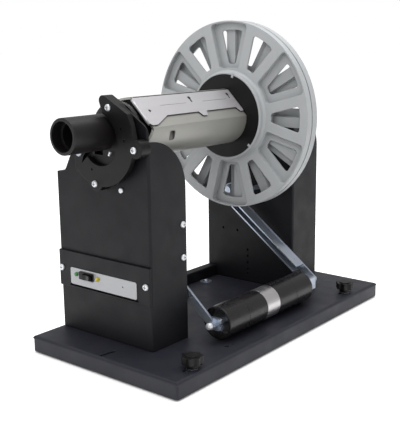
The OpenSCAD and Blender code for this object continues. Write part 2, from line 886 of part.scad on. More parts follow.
// Screws with black washers in front of the rail
module rail_screws() color(zinc) on_base()
    for (x = rail_screw_xs)
        translate([x, rail_screw_y, base_top]) {
            cylinder(h = washer_t, r = rail_washer_r);
            translate([0, 0, washer_t]) pan_screw(washer_t);
        }

// Screws in the left housing's front flange
module side_screws() color(zinc) on_base()
    for (z = side_screw_zs)
        translate([left_side_x, housing_y0, z]) rotate([90, 0, 0]) pan_screw(2 * housing_t + slip_gap);

module cover_screws() color(zinc) on_base()
    for (y = cover_screw_ys)
        translate([cover_x0, y, cover_screw_z]) pan_screw_x(cover_proud + housing_t);

module plate_stud() color(zinc) on_base()
    translate([left_x0, stud_y, stud_z]) rotate([0, -90, 0]) union() {
        rotate_extrude() polygon(rounded([
            [0, 0, 0], [stud_head_r, 0, 0], [stud_head_r, stud_head_t, stud_head_t / 2], [0, stud_head_t, 0]
        ]));
        translate([0, 0, -2 * housing_t]) cylinder(h = 2 * housing_t, r = screw_r);
    }

stud_head_r = 3.2;
stud_head_t = 2;

// Control side

module control_cover() color(steel) on_base() difference() {
    y0 = housing_y0 - slip_gap;
    y1 = housing_y1 - housing_t / 2;
    along_z(cover_z0, cover_z0 + cover_h) polygon(rounded([
        [cover_x0, y0, cover_edge], [left_x0, y0, 0], [left_x0, y1, 0], [cover_x0, y1, cover_edge]
    ]));
    along_z(cover_z0 + cover_t, cover_z0 + cover_h - cover_t) polygon([
        [cover_x0 + cover_t, y0 + cover_t], [left_x0 + over, y0 + cover_t],
        [left_x0 + over, y1 - cover_t], [cover_x0 + cover_t, y1 - cover_t]
    ]);
    along_x(cover_x0 - over, left_x0)
        polygon(box_pts(
            [panel_y0 - cover_slot_end, panel_z0 - cover_slot_h],
            [panel_y0 + panel_w + cover_slot_end, panel_z0 - pass_gap / 2], cover_edge / 2
        ));
    for (y = cover_screw_ys)
        translate([0, y, cover_screw_z]) bar_x(cover_x0 - over, left_x0, screw_r + slip_gap);
    control_holes(cover_x0 - over, left_x0 + over);
}

// Holes for the lamps and the switch, through the panel and the cover
module control_holes(x0, x1) {
    for (y = [green_y, yellow_y]) translate([0, y, lamp_z]) bar_x(x0, x1, lamp_r + slip_gap);
    along_x(x0, x1) polygon(box_pts(
        [switch_y0 + bezel_t, switch_z0 + bezel_t / 2],
        [switch_y1 - bezel_t, switch_z0 + switch_h - bezel_t / 2], 0
    ));
}

module control_panel() color("#dfe1e2") on_base() difference() {
    along_x(cover_x0 - panel_t, cover_x0)
        polygon(box_pts([panel_y0, panel_z0], [panel_y0 + panel_w, panel_z0 + panel_h], panel_r));
    control_holes(cover_x0 - panel_t - over, cover_x0 + over);
    bore_x(reset_hole.x, reset_hole.y, cover_x0 - panel_t, cover_x0, reset_hole_r);
}

// Lamp with a domed front, on the control board
module lamp(y) {
    dome_x = cover_x0 - panel_t - lamp_dome;
    translate([0, y, lamp_z]) turned_x() difference() {
        union() {
            translate([0, dome_x]) circle(r = lamp_r);
            translate([0, dome_x]) square([lamp_r, board_x0 - dome_x]);
            translate([0, left_x0 + housing_t]) square([lamp_r + lamp_flange, lamp_neck]);
        }
        translate([-2 * lamp_r, dome_x - 2 * lamp_r]) square([2 * lamp_r, 8 * lamp_r]);
    }
}

module green_lamp() color("#3fb24f") on_base() lamp(green_y);

module yellow_lamp() color("#e6cf2a") on_base() lamp(yellow_y);

// Switch housing with its bezel on the panel; the rocker's pin turns in the bezel's pocket
module switch_body() color(black) on_base() difference() {
    face_x = cover_x0 - panel_t;
    z1 = switch_z0 + switch_h;
    union() {
        along_x(face_x - bezel_t, face_x) polygon(box_pts([switch_y0, switch_z0], [switch_y1, z1], bezel_r));
        along_x(face_x, board_x0) polygon(box_pts(
            [switch_y0 + bezel_t + slip_gap, switch_z0 + bezel_t / 2 + slip_gap],
            [switch_y1 - bezel_t - slip_gap, z1 - bezel_t / 2 - slip_gap], 0
        ));
    }
    along_x(face_x - bezel_t - over, face_x + rocker_pocket) polygon(box_pts(
        [rocker_y0 - pass_gap, switch_z0 + switch_rim], [rocker_y0 + rocker_w + pass_gap, z1 - switch_rim], 0
    ));
    translate([rocker_x, rocker_mid_y, switch_z0 + rocker_pin_in - run_gap])
        cylinder(h = switch_h - 2 * (rocker_pin_in - run_gap), r = rocker_pin_r + run_gap);
}

// Rocker: two humps with a dip between them, tipping about its upright pin
module switch_rocker() color(black) on_base() translate([rocker_x, rocker_mid_y, switch_z0]) {
    half = rocker_w / 2 - pass_gap;
    rotate([0, 0, -rocker_angle])
        along_z(switch_rim + pass_gap, switch_h - switch_rim - pass_gap) polygon(rounded([
        [-rocker_proud, -half, bezel_r], [rocker_dip - rocker_proud, 0, rocker_w / 2],
        [-rocker_proud, half, bezel_r], [0, half, 0], [bezel_t, 0, 0], [0, -half, 0]
    ]));
    translate([0, 0, rocker_pin_in]) cylinder(h = switch_h - 2 * rocker_pin_in, r = rocker_pin_r);
}

chip_pitch = 24;
board_edge = 6;
chip_t = 2;
chip_w = 12;

module control_board() color(board_green) on_base() {
    z0 = panel_z0 - board_h / 2;
    translate([board_x0, board_y0, z0]) cube([board_t, board_y1 - board_y0, board_h]);
    for (i = [0:2])
        translate([board_x0 + board_t, board_y0 + chip_w + chip_pitch * i, z0 + board_edge])
            cube([chip_t, chip_w, chip_w]);
    translate([board_x0 + board_t, board_y0 + chip_w, z0 + board_h - 2 * board_edge])
        cube([3 * chip_t, 2 * chip_w, chip_w / 2]);
}

standoff_r = 3;
standoff_in = 5;

module board_standoffs() color(zinc) on_base()
    for (y = [board_y0 + standoff_in, board_y1 - standoff_in])
        translate([0, y, panel_z0 - board_h / 2 + standoff_in])
            bar_x(left_x0 + housing_t, board_x0, standoff_r);

// Round power socket in the back flange of the left housing
module power_inlet() color(black) on_base()
    translate([inlet_x, housing_y1, inlet_z]) difference() {
        union() {
            bar_y(-inlet_l, inlet_nut_t, inlet_r);
            bar_y(-housing_t - inlet_nut_t, -housing_t, inlet_nut_r);
            bar_y(0, inlet_nut_t / 2, inlet_nut_r);
        }
        difference() {
            bar_y(inlet_floor - inlet_l, inlet_nut_t + over, inlet_r / 2);
            bar_y(-inlet_l, inlet_nut_t, inlet_r / 6);
        }
    }

// Bearing block

// Plate of the block: a disc below the spindle, an upper arm with straight edges and two lobes
module block_outline(r, edge) {
    polygon(rounded(edge));
    for (p = lobe_places) translate(p) circle(r = lobe_r);
    intersection() {
        translate(block_mid) circle(r = r);
        translate([-2 * r, -2 * r]) square([4 * r, 2 * r]);
    }
}

// Region between the lower arm's end and the direction at angle a, as a cutter
module mouth_sector(a) {
    reach = 3 * block_r;
    mid_a = (a + lower_arm_angle) / 2;
    polygon([
        [0, 0], reach * [cos(lower_arm_angle), sin(lower_arm_angle)],
        2 * reach * [cos(mid_a), sin(mid_a)], reach * [cos(a), sin(a)]
    ]);
}

module block_screw_holes(x0, x1) {
    for (p = block_screw_places) translate([0, p.x, p.y]) bar_x(x0, x1, screw_r + slip_gap);
}

module bearing_block_front() color(black) on_spindle() difference() {
    along_x(block_x0, block_back_x) difference() {
        block_outline(block_r, front_edge);
        translate(block_mid) circle(r = block_arm_r);
        circle(r = tube_r + throat_gap);
        translate(block_mid) mouth_sector(mouth_angle);
    }
    block_screw_holes(block_x0 - over, block_back_x + over);
    for (p = block_marks) translate([0, p.x, p.y]) bar_x(block_x0 - over, block_x0 + mark_d, mark_r);
}

module bearing_block_back() color(black) on_spindle() difference() {
    along_x(block_back_x, left_x0) difference() {
        block_outline(block_back_r, back_edge);
        circle(r = tube_r + run_gap);
        rotate([0, 0, mouth_angle]) translate([0, -tube_r - run_gap])
            square([3 * block_r, 2 * (tube_r + run_gap)]);
        translate([0, -tube_r - notch_h]) square([notch_w, 2 * notch_h]);
        mouth_sector(mouth_angle);
        translate(latch_at) circle(r = norm(latch_tail) + latch_tail_r + pass_gap);
    }
    block_screw_holes(block_back_x - over, left_x0 + over);
}

module block_screws() color(zinc) on_spindle()
    for (p = block_screw_places)
        translate([block_x0, p.x, p.y]) pan_screw_x(block_front_t + block_back_t + housing_t);

seat_pin_r = 2;
seat_pin_y = -13;
seat_pin_z = -24.5;
seat_pin_l = 3;

// Bright pin beside the notch under the tube
module seat_pin() color(zinc) on_spindle()
    translate([0, seat_pin_y, seat_pin_z]) bar_x(block_back_x - seat_pin_l, block_back_x, seat_pin_r);

// Latch: a jaw that follows the tube, a boss on its pin and a tail for the thumb
module spindle_latch() color(black) on_base() difference() {
    boss = [latch_y - spindle_y, latch_z - spindle_z];
    jaw_r = tube_r + pass_gap;
    neck_r = jaw_r + latch_jaw_w / 2;
    translate([0, spindle_y, spindle_z]) along_x(left_x0 - latch_t - slip_gap, left_x0 - slip_gap) union() {
        polygon(concat(
            [for (a = [-38:4:10]) (jaw_r + latch_jaw_w) * [cos(a), sin(a)]],
            [for (a = [10:-4:-38]) jaw_r * [cos(a), sin(a)]]
        ));
        polygon(link_pts(neck_r * [cos(-26), sin(-26)], latch_neck_r, boss, latch_boss_r));
        polygon(link_pts(boss, latch_boss_r, boss + latch_tail, latch_tail_r));
    }
    bore_x(latch_y, latch_z, block_back_x, left_x0, latch_pin_r + run_gap);
}

module latch_pin() color(zinc) on_base() translate([0, latch_y, latch_z]) {
    bar_x(block_back_x - block_gap, left_x0 + housing_t, latch_pin_r);
    bar_x(block_back_x - block_gap, left_x0 - latch_t - slip_gap - pass_gap, latch_washer_r);
}

// Spindle

tube_step = 14;
tube_lip = 1;
tube_step_wall = 5.8;

module spindle_tube() color(tube_black) on_spindle() {
    x1 = mandrel_x1 - end_disc_t;
    turned_x() polygon([
        [tube_r - tube_wall, tube_x0], [tube_r - tube_lip, tube_x0], [tube_r, tube_x0 + tube_lip],
        [tube_r, x1], [tube_r - 2 * tube_wall, x1], [tube_r - 2 * tube_wall, tube_x0 + 5 * tube_step],
        [0, tube_x0 + 5 * tube_step], [0, tube_x0 + 4 * tube_step],
        [tube_r - tube_step_wall, tube_x0 + 4 * tube_step], [tube_r - tube_step_wall, tube_x0 + tube_step],
        [tube_r - tube_wall, tube_x0 + tube_step]
    ]);
}

// Two black rings between the left housing and the mandrel
module end_collar() color(black) on_spindle() turned_x() polygon([
    [tube_r, end_collar_x0], [end_collar_r - tube_lip, end_collar_x0], [end_collar_r, end_collar_x0 + tube_lip],
    [end_collar_r, end_collar_x0 + end_collar_flange], [end_collar_neck_r, end_collar_x0 + end_collar_flange],
    [end_collar_neck_r, end_collar_x1 - end_collar_flange], [end_collar_r, end_collar_x1 - end_collar_flange],
    [end_collar_r, end_collar_x1 - tube_lip], [end_collar_r - tube_lip, end_collar_x1],
    [end_collar_neck_r, end_collar_x1], [end_collar_neck_r, mandrel_x0 + collar_neck_in],
    [tube_r, mandrel_x0 + collar_neck_in]
]);

// Round outline with a flat that faces up and forwards
module mandrel_outline(r, d) {
    intersection() {
        circle(r = r);
        rotate([0, 0, 45]) translate([-2 * r, -2 * r]) square([4 * r, 2 * r + d]);
    }
}

module mandrel_body() color(alloy) on_spindle() difference() {
    along_x(mandrel_x0, mandrel_x1) difference() {
        mandrel_outline(mandrel_r, flat_d);
        mandrel_outline(mandrel_r - mandrel_wall, flat_d - mandrel_wall);
    }
    rotate([45, 0, 0]) along_y(-2 * mandrel_r, 2 * mandrel_r) polygon([
        [mandrel_x0 - over, mandrel_r / 4], [mandrel_x0, mandrel_r / 4],
        [mandrel_flat_x0, flat_d - mandrel_wall], [mandrel_flat_x0, mandrel_r + over],
        [mandrel_x0 - over, mandrel_r + over]
    ]);
    translate([slot_x - slot_w / 2, -mandrel_r - over, slot_dz - slot_h / 2])
        cube([slot_w, mandrel_wall + 3 * over, slot_h]);
    for (x = post_xs)
        rotate([45, 0, 0]) translate([x, 0, 0]) cylinder(h = mandrel_r, r = post_r + run_gap);
}

module mandrel_end_discs() color(black) on_spindle() {
    fit = mandrel_wall + slip_gap / 2;
    x0 = mandrel_flat_x0 + tube_lip;
    along_x(x0, x0 + end_disc_t) difference() {
        mandrel_outline(mandrel_r - fit, flat_d - fit);
        circle(r = tube_r);
    }
    along_x(mandrel_x1 - end_disc_t, mandrel_x1) difference() {
        mandrel_outline(mandrel_r - fit, flat_d - fit);
        circle(r = shaft_r);
    }
}

// On the mandrel's flat: x along the spindle, y across the flat, z out of it
module on_flat() {
    on_spindle() rotate([45, 0, 0]) translate([0, 0, flat_d]) children();
}

function keyhole(x) = concat(
    [for (a = [-60:20:240]) [x, keyhole_v] + keyhole_r * [cos(a), sin(a)]],
    [[x - keyhole_r / 2, keyhole_v - 3 * keyhole_r], [x + keyhole_r / 2, keyhole_v - 3 * keyhole_r]]
);

module clamp_plate() color("#cfd0d0") on_flat() {
    ramp_x0 = plate_x0 + plate_foot;
    ramp_x1 = ramp_x0 + plate_ramp;
    low = -plate_front - tab_drop;
    difference() {
        along_z(0, plate_t) polygon(rounded([
            [plate_x0, plate_corner, plate_r], [plate_x0, -plate_corner, ramp_r],
            [ramp_x0, -plate_corner, ramp_r], [ramp_x1, -plate_front, tab_r],
            [mid_tab_x - tab_w, -plate_front, plate_r], [mid_tab_x - tab_w / 2, low, tab_r],
            [mid_tab_x + tab_w / 2, low, tab_r], [mid_tab_x + tab_w, -plate_front, plate_r],
            [plate_x1 - tab_w, -plate_front, plate_r], [plate_x1 - tab_w, low, tab_r],
            [plate_x1, low, plate_r], [plate_x1, plate_corner, plate_r]
        ]));
        for (x = keyhole_xs) along_z(-over, plate_t + over) polygon(keyhole(x));
        translate([plate_x0 + plate_hole_in, 0, -over]) cylinder(h = plate_t + 2 * over, r = keyhole_r);
        for (x = score_xs)
            translate([x, score_v, plate_t - score_w]) cube([score_l, score_w, score_w + over]);
    }
    translate([plate_x0, plate_r - plate_corner, plate_t - lip_r])
        bar_y(0, 2 * (plate_corner - plate_r), lip_r);
}

// Headed posts that guide the clamp plate and stop its travel inside the wall
module clamp_posts() color(zinc) on_flat()
    for (x = post_xs) translate([x, 0, 0]) {
        bottom = -mandrel_wall - clamp_travel - pass_gap - post_head_t;
        translate([0, 0, bottom]) cylinder(h = -bottom, r = post_r);
        translate([0, 0, bottom]) cylinder(h = post_head_t, r = post_head_r);
    }

// Flange wheel

// Black hub: a front plate, a rim and a ribbed back round the shaft's boss
module hub_disc() color(black) on_spindle() {
    x0 = mandrel_x1;
    x1 = wheel_x0 + 2 * half_t;
    difference() {
        bar_x(x0, x1, hub_r);
        translate([x0 + hub_plate_t, 0, 0]) turned_x()
            translate([hub_boss_r, 0]) square([hub_r - hub_plate_t - hub_boss_r, x1]);
        bar_x(x0 - over, x1 + over, shaft_r);
    }
    for (i = [0:hub_ribs - 1])
        rotate([i * 360 / hub_ribs, 0, 0])
            translate([x0 + hub_plate_t / 2, hub_boss_r - wheel_wall / 2, -wheel_wall / 2])
                cube([x1 - x0 - hub_plate_t, hub_r - hub_plate_t - hub_boss_r + wheel_wall, wheel_wall]);
}

// Outline between two spokes: arcs at two radii and sides parallel to the spokes' middle lines
function pane(r_in, r_out, gap, r) = let(
    half = 180 / spokes,
    out_a = half - asin(gap / r_out),
    in_a = half - asin(gap / r_in),
    run = max(1.2 * r, wheel_wall) * 180 / PI,
    out_cut = run / r_out,
    in_cut = run / r_in,
    at = function (q, a, c) [q * cos(a), q * sin(a), c],
    steps = 6
) rounded(concat(
    [at(r_out, -out_a, r)],
    [for (i = [0:steps]) at(r_out, -(out_a - out_cut) * (1 - 2 * i / steps), 0)],
    [at(r_out, out_a, r), at(r_in, in_a, r)],
    [for (i = [0:steps]) at(r_in, (in_a - in_cut) * (1 - 2 * i / steps), 0)],
    [at(r_in, -in_a, r)]
));

// Every second place between the spokes
module each_bay() {
    for (i = [0:2:spokes - 1]) rotate([0, 0, i * 360 / spokes]) children();
}

// One moulded half: the face looks towards -Z, its back edge lies on the wheel's mid plane
module wheel_half() {
    difference() {
        union() {
            cylinder(h = wheel_wall, r = wheel_r);
            rotate_extrude() polygon(concat(
                [[0, -collar_proud], [collar_r - lip_in, -collar_proud], [collar_r, -collar_proud + lip_in]],
                [for (a = [0:10:90])
                    [collar_foot_r, -flare_r] + [-flare_r * cos(a), flare_r * sin(a) + flare_sink]],
                [[collar_foot_r, half_t], [0, half_t]]
            ));
            each_bay() along_z(wheel_wall / 2, bay_depth + bay_floor_t)
                polygon(pane(collar_foot_r - wheel_wall / 2, wheel_r - bay_edge / 2,
                    bay_side / 2 - wheel_wall, 0));
            difference() {
                cylinder(h = half_t - rim_groove, r = wheel_r);
                translate([0, 0, wheel_wall / 2]) cylinder(h = half_t, r = wheel_r - wheel_wall);
            }
        }
        each_bay() along_z(-over, bay_depth)
            polygon(pane(collar_foot_r + bay_in, wheel_r - bay_edge, bay_side / 2, bay_corner));
        for (i = [0:spokes - 1])
            rotate([0, 0, i * 360 / spokes]) along_z(-over, half_t + over)
                polygon(pane(window_in_r, window_out_r, spoke_w / 2, window_corner));
        translate([0, 0, -collar_proud - over])
            cylinder(h = collar_proud + half_t + 2 * over, r = hub_r + pass_gap / 2);
    }
}

// The half in its place: clock angle zero is up, and the face looks towards -X
module wheel_front() color(wheel_grey) on_spindle() {
    translate([wheel_x0, 0, 0]) rotate([0, 90, 0]) wheel_half();
    for (a = lug_angles)
        rotate([a, 0, 0]) translate([mandrel_x1, 0, hub_r]) along_y(-lug_w / 2, lug_w / 2) polygon([
            [-lug_t, -lug_reach], [-lug_t, lug_reach], [2 * lug_t, lug_reach],
            [2 * lug_t, pass_gap / 4], [0, pass_gap / 4], [0, -lug_reach]
        ]);
}

// The back half is turned by half a pitch, so that its spokes stand behind the front windows
module wheel_back() color(wheel_grey) on_spindle()
    rotate([-180 / spokes, 0, 0]) translate([wheel_x0 + 2 * half_t, 0, 0]) rotate([0, -90, 0]) wheel_half();

// Drive train

// Involute function, in degrees
function involute(a) = (tan(a) - a * PI / 180) * 180 / PI;

// Half of a tooth's angle at radius r
function tooth_half(teeth, r, slack) = let(
    pitch_r = gear_module * teeth / 2,
    base_r = pitch_r * cos(20)
) 90 / teeth - slack / pitch_r * 180 / PI + involute(20) - involute(acos(min(1, base_r / r)));

// Outline of a spur gear with involute teeth
function gear_pts(teeth, slack) = let(
    pitch_r = gear_module * teeth / 2,
    tip_r = pitch_r + 0.95 * gear_module,
    root_r = pitch_r - 1.25 * gear_module,
    flank_r = max(root_r + 0.05 * gear_module, pitch_r * cos(20)),
    steps = 3
) [
    for (i = [0:teeth - 1]) each concat(
        [let(a = i * 360 / teeth - tooth_half(teeth, flank_r, slack)) root_r * [cos(a), sin(a)]],
        [for (k = [0:steps])
            let(r = flank_r + (tip_r - flank_r) * k / steps, a = i * 360 / teeth - tooth_half(teeth, r, slack))
            r * [cos(a), sin(a)]],
        [for (k = [steps:-1:0])
            let(r = flank_r + (tip_r - flank_r) * k / steps, a = i * 360 / teeth + tooth_half(teeth, r, slack))
            r * [cos(a), sin(a)]],
        [let(a = i * 360 / teeth + tooth_half(teeth, flank_r, slack)) root_r * [cos(a), sin(a)]]
    )
];

tooth_slack = 0.08;
gear_hub_r = 14;
gear_web_t = 4;
gear_rim = 4;

module drive_gear() color("#d8d4c4") on_spindle() difference() {
    union() {
        along_x(gear_x0, gear_x1) difference() {
            rotate([0, 0, -90 + 180 / gear_teeth]) polygon(gear_pts(gear_teeth, tooth_slack));
            circle(r = gear_r - gear_rim);
        }
        bar_x(gear_x0 + gear_web_t / 2, gear_x0 + 1.5 * gear_web_t, gear_r - gear_rim * 3 / 4);
        bar_x(gear_x0, gear_x1, gear_hub_r);
    }
    bar_x(gear_x0 - over, gear_x1 + over, shaft_r);
}

module motor_pinion() color("#c9a54b") on_base() translate([0, spindle_y, pinion_z]) difference() {
    along_x(gear_x0, gear_x1) rotate([0, 0, 90]) polygon(gear_pts(pinion_teeth, tooth_slack));
    bar_x(gear_x0 - over, gear_x1 + over, motor_shaft_r);
}

module drive_shaft() color(zinc) on_spindle() turned_x() polygon([
    [0, mandrel_x1 - end_disc_t], [shaft_r, mandrel_x1 - end_disc_t],
    [shaft_r, rear_bearing_x1], [shaft_r - shaft_edge, rear_bearing_x1 + shaft_edge],
    [0, rear_bearing_x1 + shaft_edge]
]);

shaft_edge = 1;
rear_bearing_x0 = bracket_x0 - shaft_edge;
rear_bearing_x1 = rear_bearing_x0 + rear_bearing_l;

// Flanged ball bearing in the web and a plain one in the bracket
module shaft_bearings() color(zinc) on_spindle() {
    turned_x() polygon([
        [shaft_r + run_gap, right_x0 - bearing_flange_t], [bearing_flange_r, right_x0 - bearing_flange_t],
        [bearing_flange_r, right_x0], [bearing_r, right_x0], [bearing_r, right_x0 + bearing_plate_l],
        [shaft_r + run_gap, right_x0 + bearing_plate_l]
    ]);
    turned_x() translate([shaft_r + run_gap, rear_bearing_x0])
        square([rear_bearing_r - shaft_r - run_gap, rear_bearing_l]);
}

bracket_foot = 7;
bracket_low = gearbox_r + bracket_foot;
bracket_top = 1;
bracket_high = gear_r + bracket_top;
post_low = 6;
post_high = 5;
post_side = 0.5;

module drive_bracket() color(zinc) on_base() difference() {
    along_x(bracket_x0, bracket_x0 + bracket_t) polygon(box_pts(
        [spindle_y - bracket_w / 2, pinion_z - bracket_low],
        [spindle_y + bracket_w / 2, spindle_z + bracket_high], bracket_r
    ));
    bore_x(spindle_y, spindle_z, bracket_x0, bracket_x0 + bracket_t, rear_bearing_r);
    bore_x(spindle_y, pinion_z, bracket_x0, bracket_x0 + bracket_t, motor_shaft_r * 2);
}

module bracket_posts() color(zinc) on_base()
    for (dy = [-1, 1], z = [pinion_z - bracket_low + post_low, spindle_z + bracket_high - post_high])
        translate([0, spindle_y + dy * (bracket_w / 2 - post_in_r - post_side), z])
            bar_x(web_in_x, bracket_x0, post_in_r);

module motor_gearbox() color(alloy) on_base() translate([0, spindle_y, pinion_z]) {
    x0 = bracket_x0 + bracket_t;
    bar_x(x0, x0 + gearbox_l, gearbox_r);
    bar_x(x0 - bracket_t + pass_gap, x0, motor_shaft_r * 2 - run_gap);
}

module drive_motor() color("#8b8d90") on_base() translate([0, spindle_y, pinion_z]) {
    x0 = bracket_x0 + bracket_t + gearbox_l;
    turned_x() polygon(rounded([
        [0, x0, 0], [motor_r, x0, 0], [motor_r, x0 + motor_l, motor_edge_r], [0, x0 + motor_l, 0]
    ]));
}

// Dancer

// Arm's own frame: y runs from the pivot to the arm's end, z across it
module on_arm(end) {
    translate([0, pivot_y, pivot_z]) rotate([atan2(end.y - pivot_z, end.x - pivot_y), 0, 0]) children();
}

module dancer_arm_left() color(zinc) on_base() {
    end = [roller_y, roller_z];
    reach = norm(end - [pivot_y, pivot_z]);
    on_arm(end) difference() {
        along_x(left_arm_x0, left_arm_x1)
            polygon(link_pts([0, 0], flat_arm_w / 2 + left_boss, [reach, 0], flat_arm_w / 2));
        bar_x(left_arm_x0 - over, left_arm_x1 + over, pivot_r + run_gap);
        bore_x(reach, 0, left_arm_x0, left_arm_x1, roller_shaft_r);
    }
}

flange_start = 10;
flange_stop = 24;

// Pressed channel: a web with two flanges towards the roller, plain at its lower end
module dancer_arm_right() color(zinc) on_base() {
    reach = norm(arm_end - [pivot_y, pivot_z]);
    half = arm_w / 2;
    on_arm(arm_end) difference() {
        union() {
            along_x(right_arm_x1 - arm_t, right_arm_x1)
                polygon(link_pts([0, 0], half + arm_boss, [reach, 0], half));
            for (side = [-1, 1])
                translate([right_arm_x0, flange_start, side * (half - arm_t / 2) - arm_t / 2])
                    cube([arm_depth - arm_t / 2, reach - flange_stop - flange_start, arm_t]);
        }
        bar_x(right_arm_x1 - arm_t - over, right_arm_x1 + over, pivot_r + run_gap);
    }
}

// Clamp blocks that hold the roller's shaft in the arms' ends
module arm_end_blocks() color(zinc) on_base() difference() {
    union() {
        along_x(left_arm_x1, roller_x0 - block_gap) polygon(box_pts(
            [roller_y - end_high, roller_z - end_low], [roller_y + end_low, roller_z + end_high], end_r / 2
        ));
        along_x(roller_x1 + block_gap, right_arm_x1 - arm_t) polygon(rounded([
            [arm_end.x - end_wide, arm_end.y + end_wide, end_r],
            [arm_end.x - end_wide, roller_z - end_low, end_r],
            [roller_y + end_low, roller_z - end_low, end_r], [roller_y + end_low, arm_end.y + end_wide, end_r]
        ]));
    }
    bore_x(roller_y, roller_z, left_arm_x1, right_arm_x1, roller_shaft_r);
}

// Bolts of the left block, the bolt through the right arm and the nut on the roller's shaft
module arm_bolts() color(zinc) on_base() {
    for (dz = bolt_dzs)
        translate([(left_arm_x1 + roller_x0) / 2, roller_y - end_high, roller_z + dz]) hex_head_y();
    translate([right_arm_x1, arm_end.x, arm_end.y]) rotate([0, 90, 0])
        cylinder(h = 1.4 * bolt_head_t, r = bolt_af_r, $fn = 6);
    translate([right_arm_x1 - arm_t, roller_y, roller_z]) rotate([0, 90, 0]) difference() {
        cylinder(h = 2 * bolt_head_t, r = nut_r, $fn = 6);
        translate([0, 0, -over]) cylinder(h = 4 * bolt_head_t, r = roller_shaft_r);
    }
}

// Shouldered pivot bolts: head, journal in the arm, shoulder and thread in the sheet
module dancer_pivots() color(zinc) on_base() translate([0, pivot_y, pivot_z]) {
    turned_x() polygon([
        [0, right_arm_x1 - arm_t - pivot_head_t - slip_gap],
        [pivot_head_r, right_arm_x1 - arm_t - pivot_head_t - slip_gap],
        [pivot_head_r, right_arm_x1 - arm_t - slip_gap], [pivot_r, right_arm_x1 - arm_t - slip_gap],
        [pivot_r, right_arm_x1 + slip_gap], [pivot_bush_r, right_arm_x1 + slip_gap],
        [pivot_bush_r, right_x0], [pivot_r, right_x0], [pivot_r, web_in_x + pivot_thread],
        [0, web_in_x + pivot_thread]
    ]);
    turned_x() polygon([
        [0, left_x1 - housing_t - pivot_thread], [pivot_r, left_x1 - housing_t - pivot_thread],
        [pivot_r, left_x1],
        [pivot_bush_r, left_x1], [pivot_bush_r, left_arm_x0 - slip_gap], [pivot_r, left_arm_x0 - slip_gap],
        [pivot_r, left_arm_x1 + slip_gap], [pivot_head_r, left_arm_x1 + slip_gap],
        [pivot_head_r, left_arm_x1 + slip_gap + pivot_head_t], [0, left_arm_x1 + slip_gap + pivot_head_t]
    ]);
}

// Centre line of the spring: a straight tail, the curls about X, a straight tail
coil_x0 = right_arm_x1 + pass_gap;
coil_x1 = right_x0 - pass_gap;
coil_tail = 2 * wire_r;
coil_curls = floor((coil_x1 - coil_x0 - 2 * coil_tail) / coil_pitch);
function coil_point(t) = [
    coil_x0 + coil_tail + t * (coil_x1 - coil_x0 - 2 * coil_tail) / coil_curls,
    coil_r * cos(360 * t), coil_r * sin(360 * t)
];
coil_path = concat(
    [[coil_x0, coil_r, 0]],
    [for (i = [0:coil_curls * coil_rings]) coil_point(i / coil_rings)],
    [[coil_x1, coil_r, 0]]
);

// Ring of points round point i of the path, leaning with the path
function wire_ring(i) = let(
    p = coil_path[i],
    last = len(coil_path) - 1,
    t = unit(coil_path[min(i + 1, last)] - coil_path[max(i - 1, 0)]),
    along = i == 0 || i == last ? [1, 0, 0] : t,
    out = unit([0, p.y, p.z]),
    flat = unit(cross(along, out)),
    up = cross(flat, along)
) [for (k = [0:wire_sides - 1])
    p + wire_r * (cos(360 * k / wire_sides) * up + sin(360 * k / wire_sides) * flat)];

// Closed tube through all rings, its faces as triangles
module wire_tube() {
    n = len(coil_path);
    points = [for (i = [0:n - 1]) each wire_ring(i)];
    sides = [
        for (i = [0:n - 2], k = [0:wire_sides - 1])
            let(a = i * wire_sides + k, b = i * wire_sides + (k + 1) % wire_sides)
            each [[a, a + wire_sides, b], [b, a + wire_sides, b + wire_sides]]
    ];
    first = [for (k = [1:wire_sides - 2]) [0, k, k + 1]];
    final = (n - 1) * wire_sides;
    caps = [for (k = [1:wire_sides - 2]) [final, final + k + 1, final + k]];
    polyhedron(points, concat(sides, first, caps));
}

echo(least_gap_between_curls = (coil_x1 - coil_x0 - 2 * coil_tail) / coil_curls - 2 * wire_r);

module dancer_spring() color(zinc) on_base() translate([0, pivot_y, pivot_z]) wire_tube();

module arm_stop() color(zinc) on_base() translate([0, stop_y, stop_z]) {
    bar_x(right_x0 - stop_l, right_x0, stop_r);
    bar_x(right_x0, web_in_x + pivot_thread, screw_r);
}

module roller_shaft() color(zinc) on_base() translate([0, roller_y, roller_z]) {
    bar_x(left_arm_x0 - slip_gap, right_arm_x1 + shaft_thread, roller_shaft_r);
    bar_x(left_arm_x0 - shaft_head_t, left_arm_x0, shaft_head_r);
}

// Aluminium core whose raised middle shows as the bright band
module roller_core() color("#c8cacc") on_base() translate([0, roller_y, roller_z]) turned_x() polygon([
    [roller_r - 2 * sleeve_wall, roller_x0 + bearing_in - core_over],
    [roller_r - sleeve_wall, roller_x0 + bearing_in - core_over],
    [roller_r - sleeve_wall, roller_mid_x - band_w / 2], [roller_r, roller_mid_x - band_w / 2],
    [roller_r, roller_mid_x + band_w / 2], [roller_r - sleeve_wall, roller_mid_x + band_w / 2],
    [roller_r - sleeve_wall, roller_x1 - bearing_in + core_over],
    [roller_r - 2 * sleeve_wall, roller_x1 - bearing_in + core_over]
]);

// Black sleeves either side of the band, each with a seam in its middle
module roller_sleeves() color(black) on_base() translate([0, roller_y, roller_z]) {
    in_r = roller_r - sleeve_wall;
    half = (roller_l - band_w) / 2;
    for (x0 = [roller_x0, roller_mid_x + band_w / 2]) turned_x() {
        seam_x = x0 + half * seam_share;
        x1 = x0 + half;
        polygon([
            [in_r, x0], [roller_r - sleeve_edge, x0], [roller_r, x0 + sleeve_edge],
            [roller_r, seam_x], [roller_r - seam_d, seam_x],
            [roller_r - seam_d, seam_x + seam_w], [roller_r, seam_x + seam_w],
            [roller_r, x1 - sleeve_edge], [roller_r - sleeve_edge, x1], [in_r, x1]
        ]);
    }
}

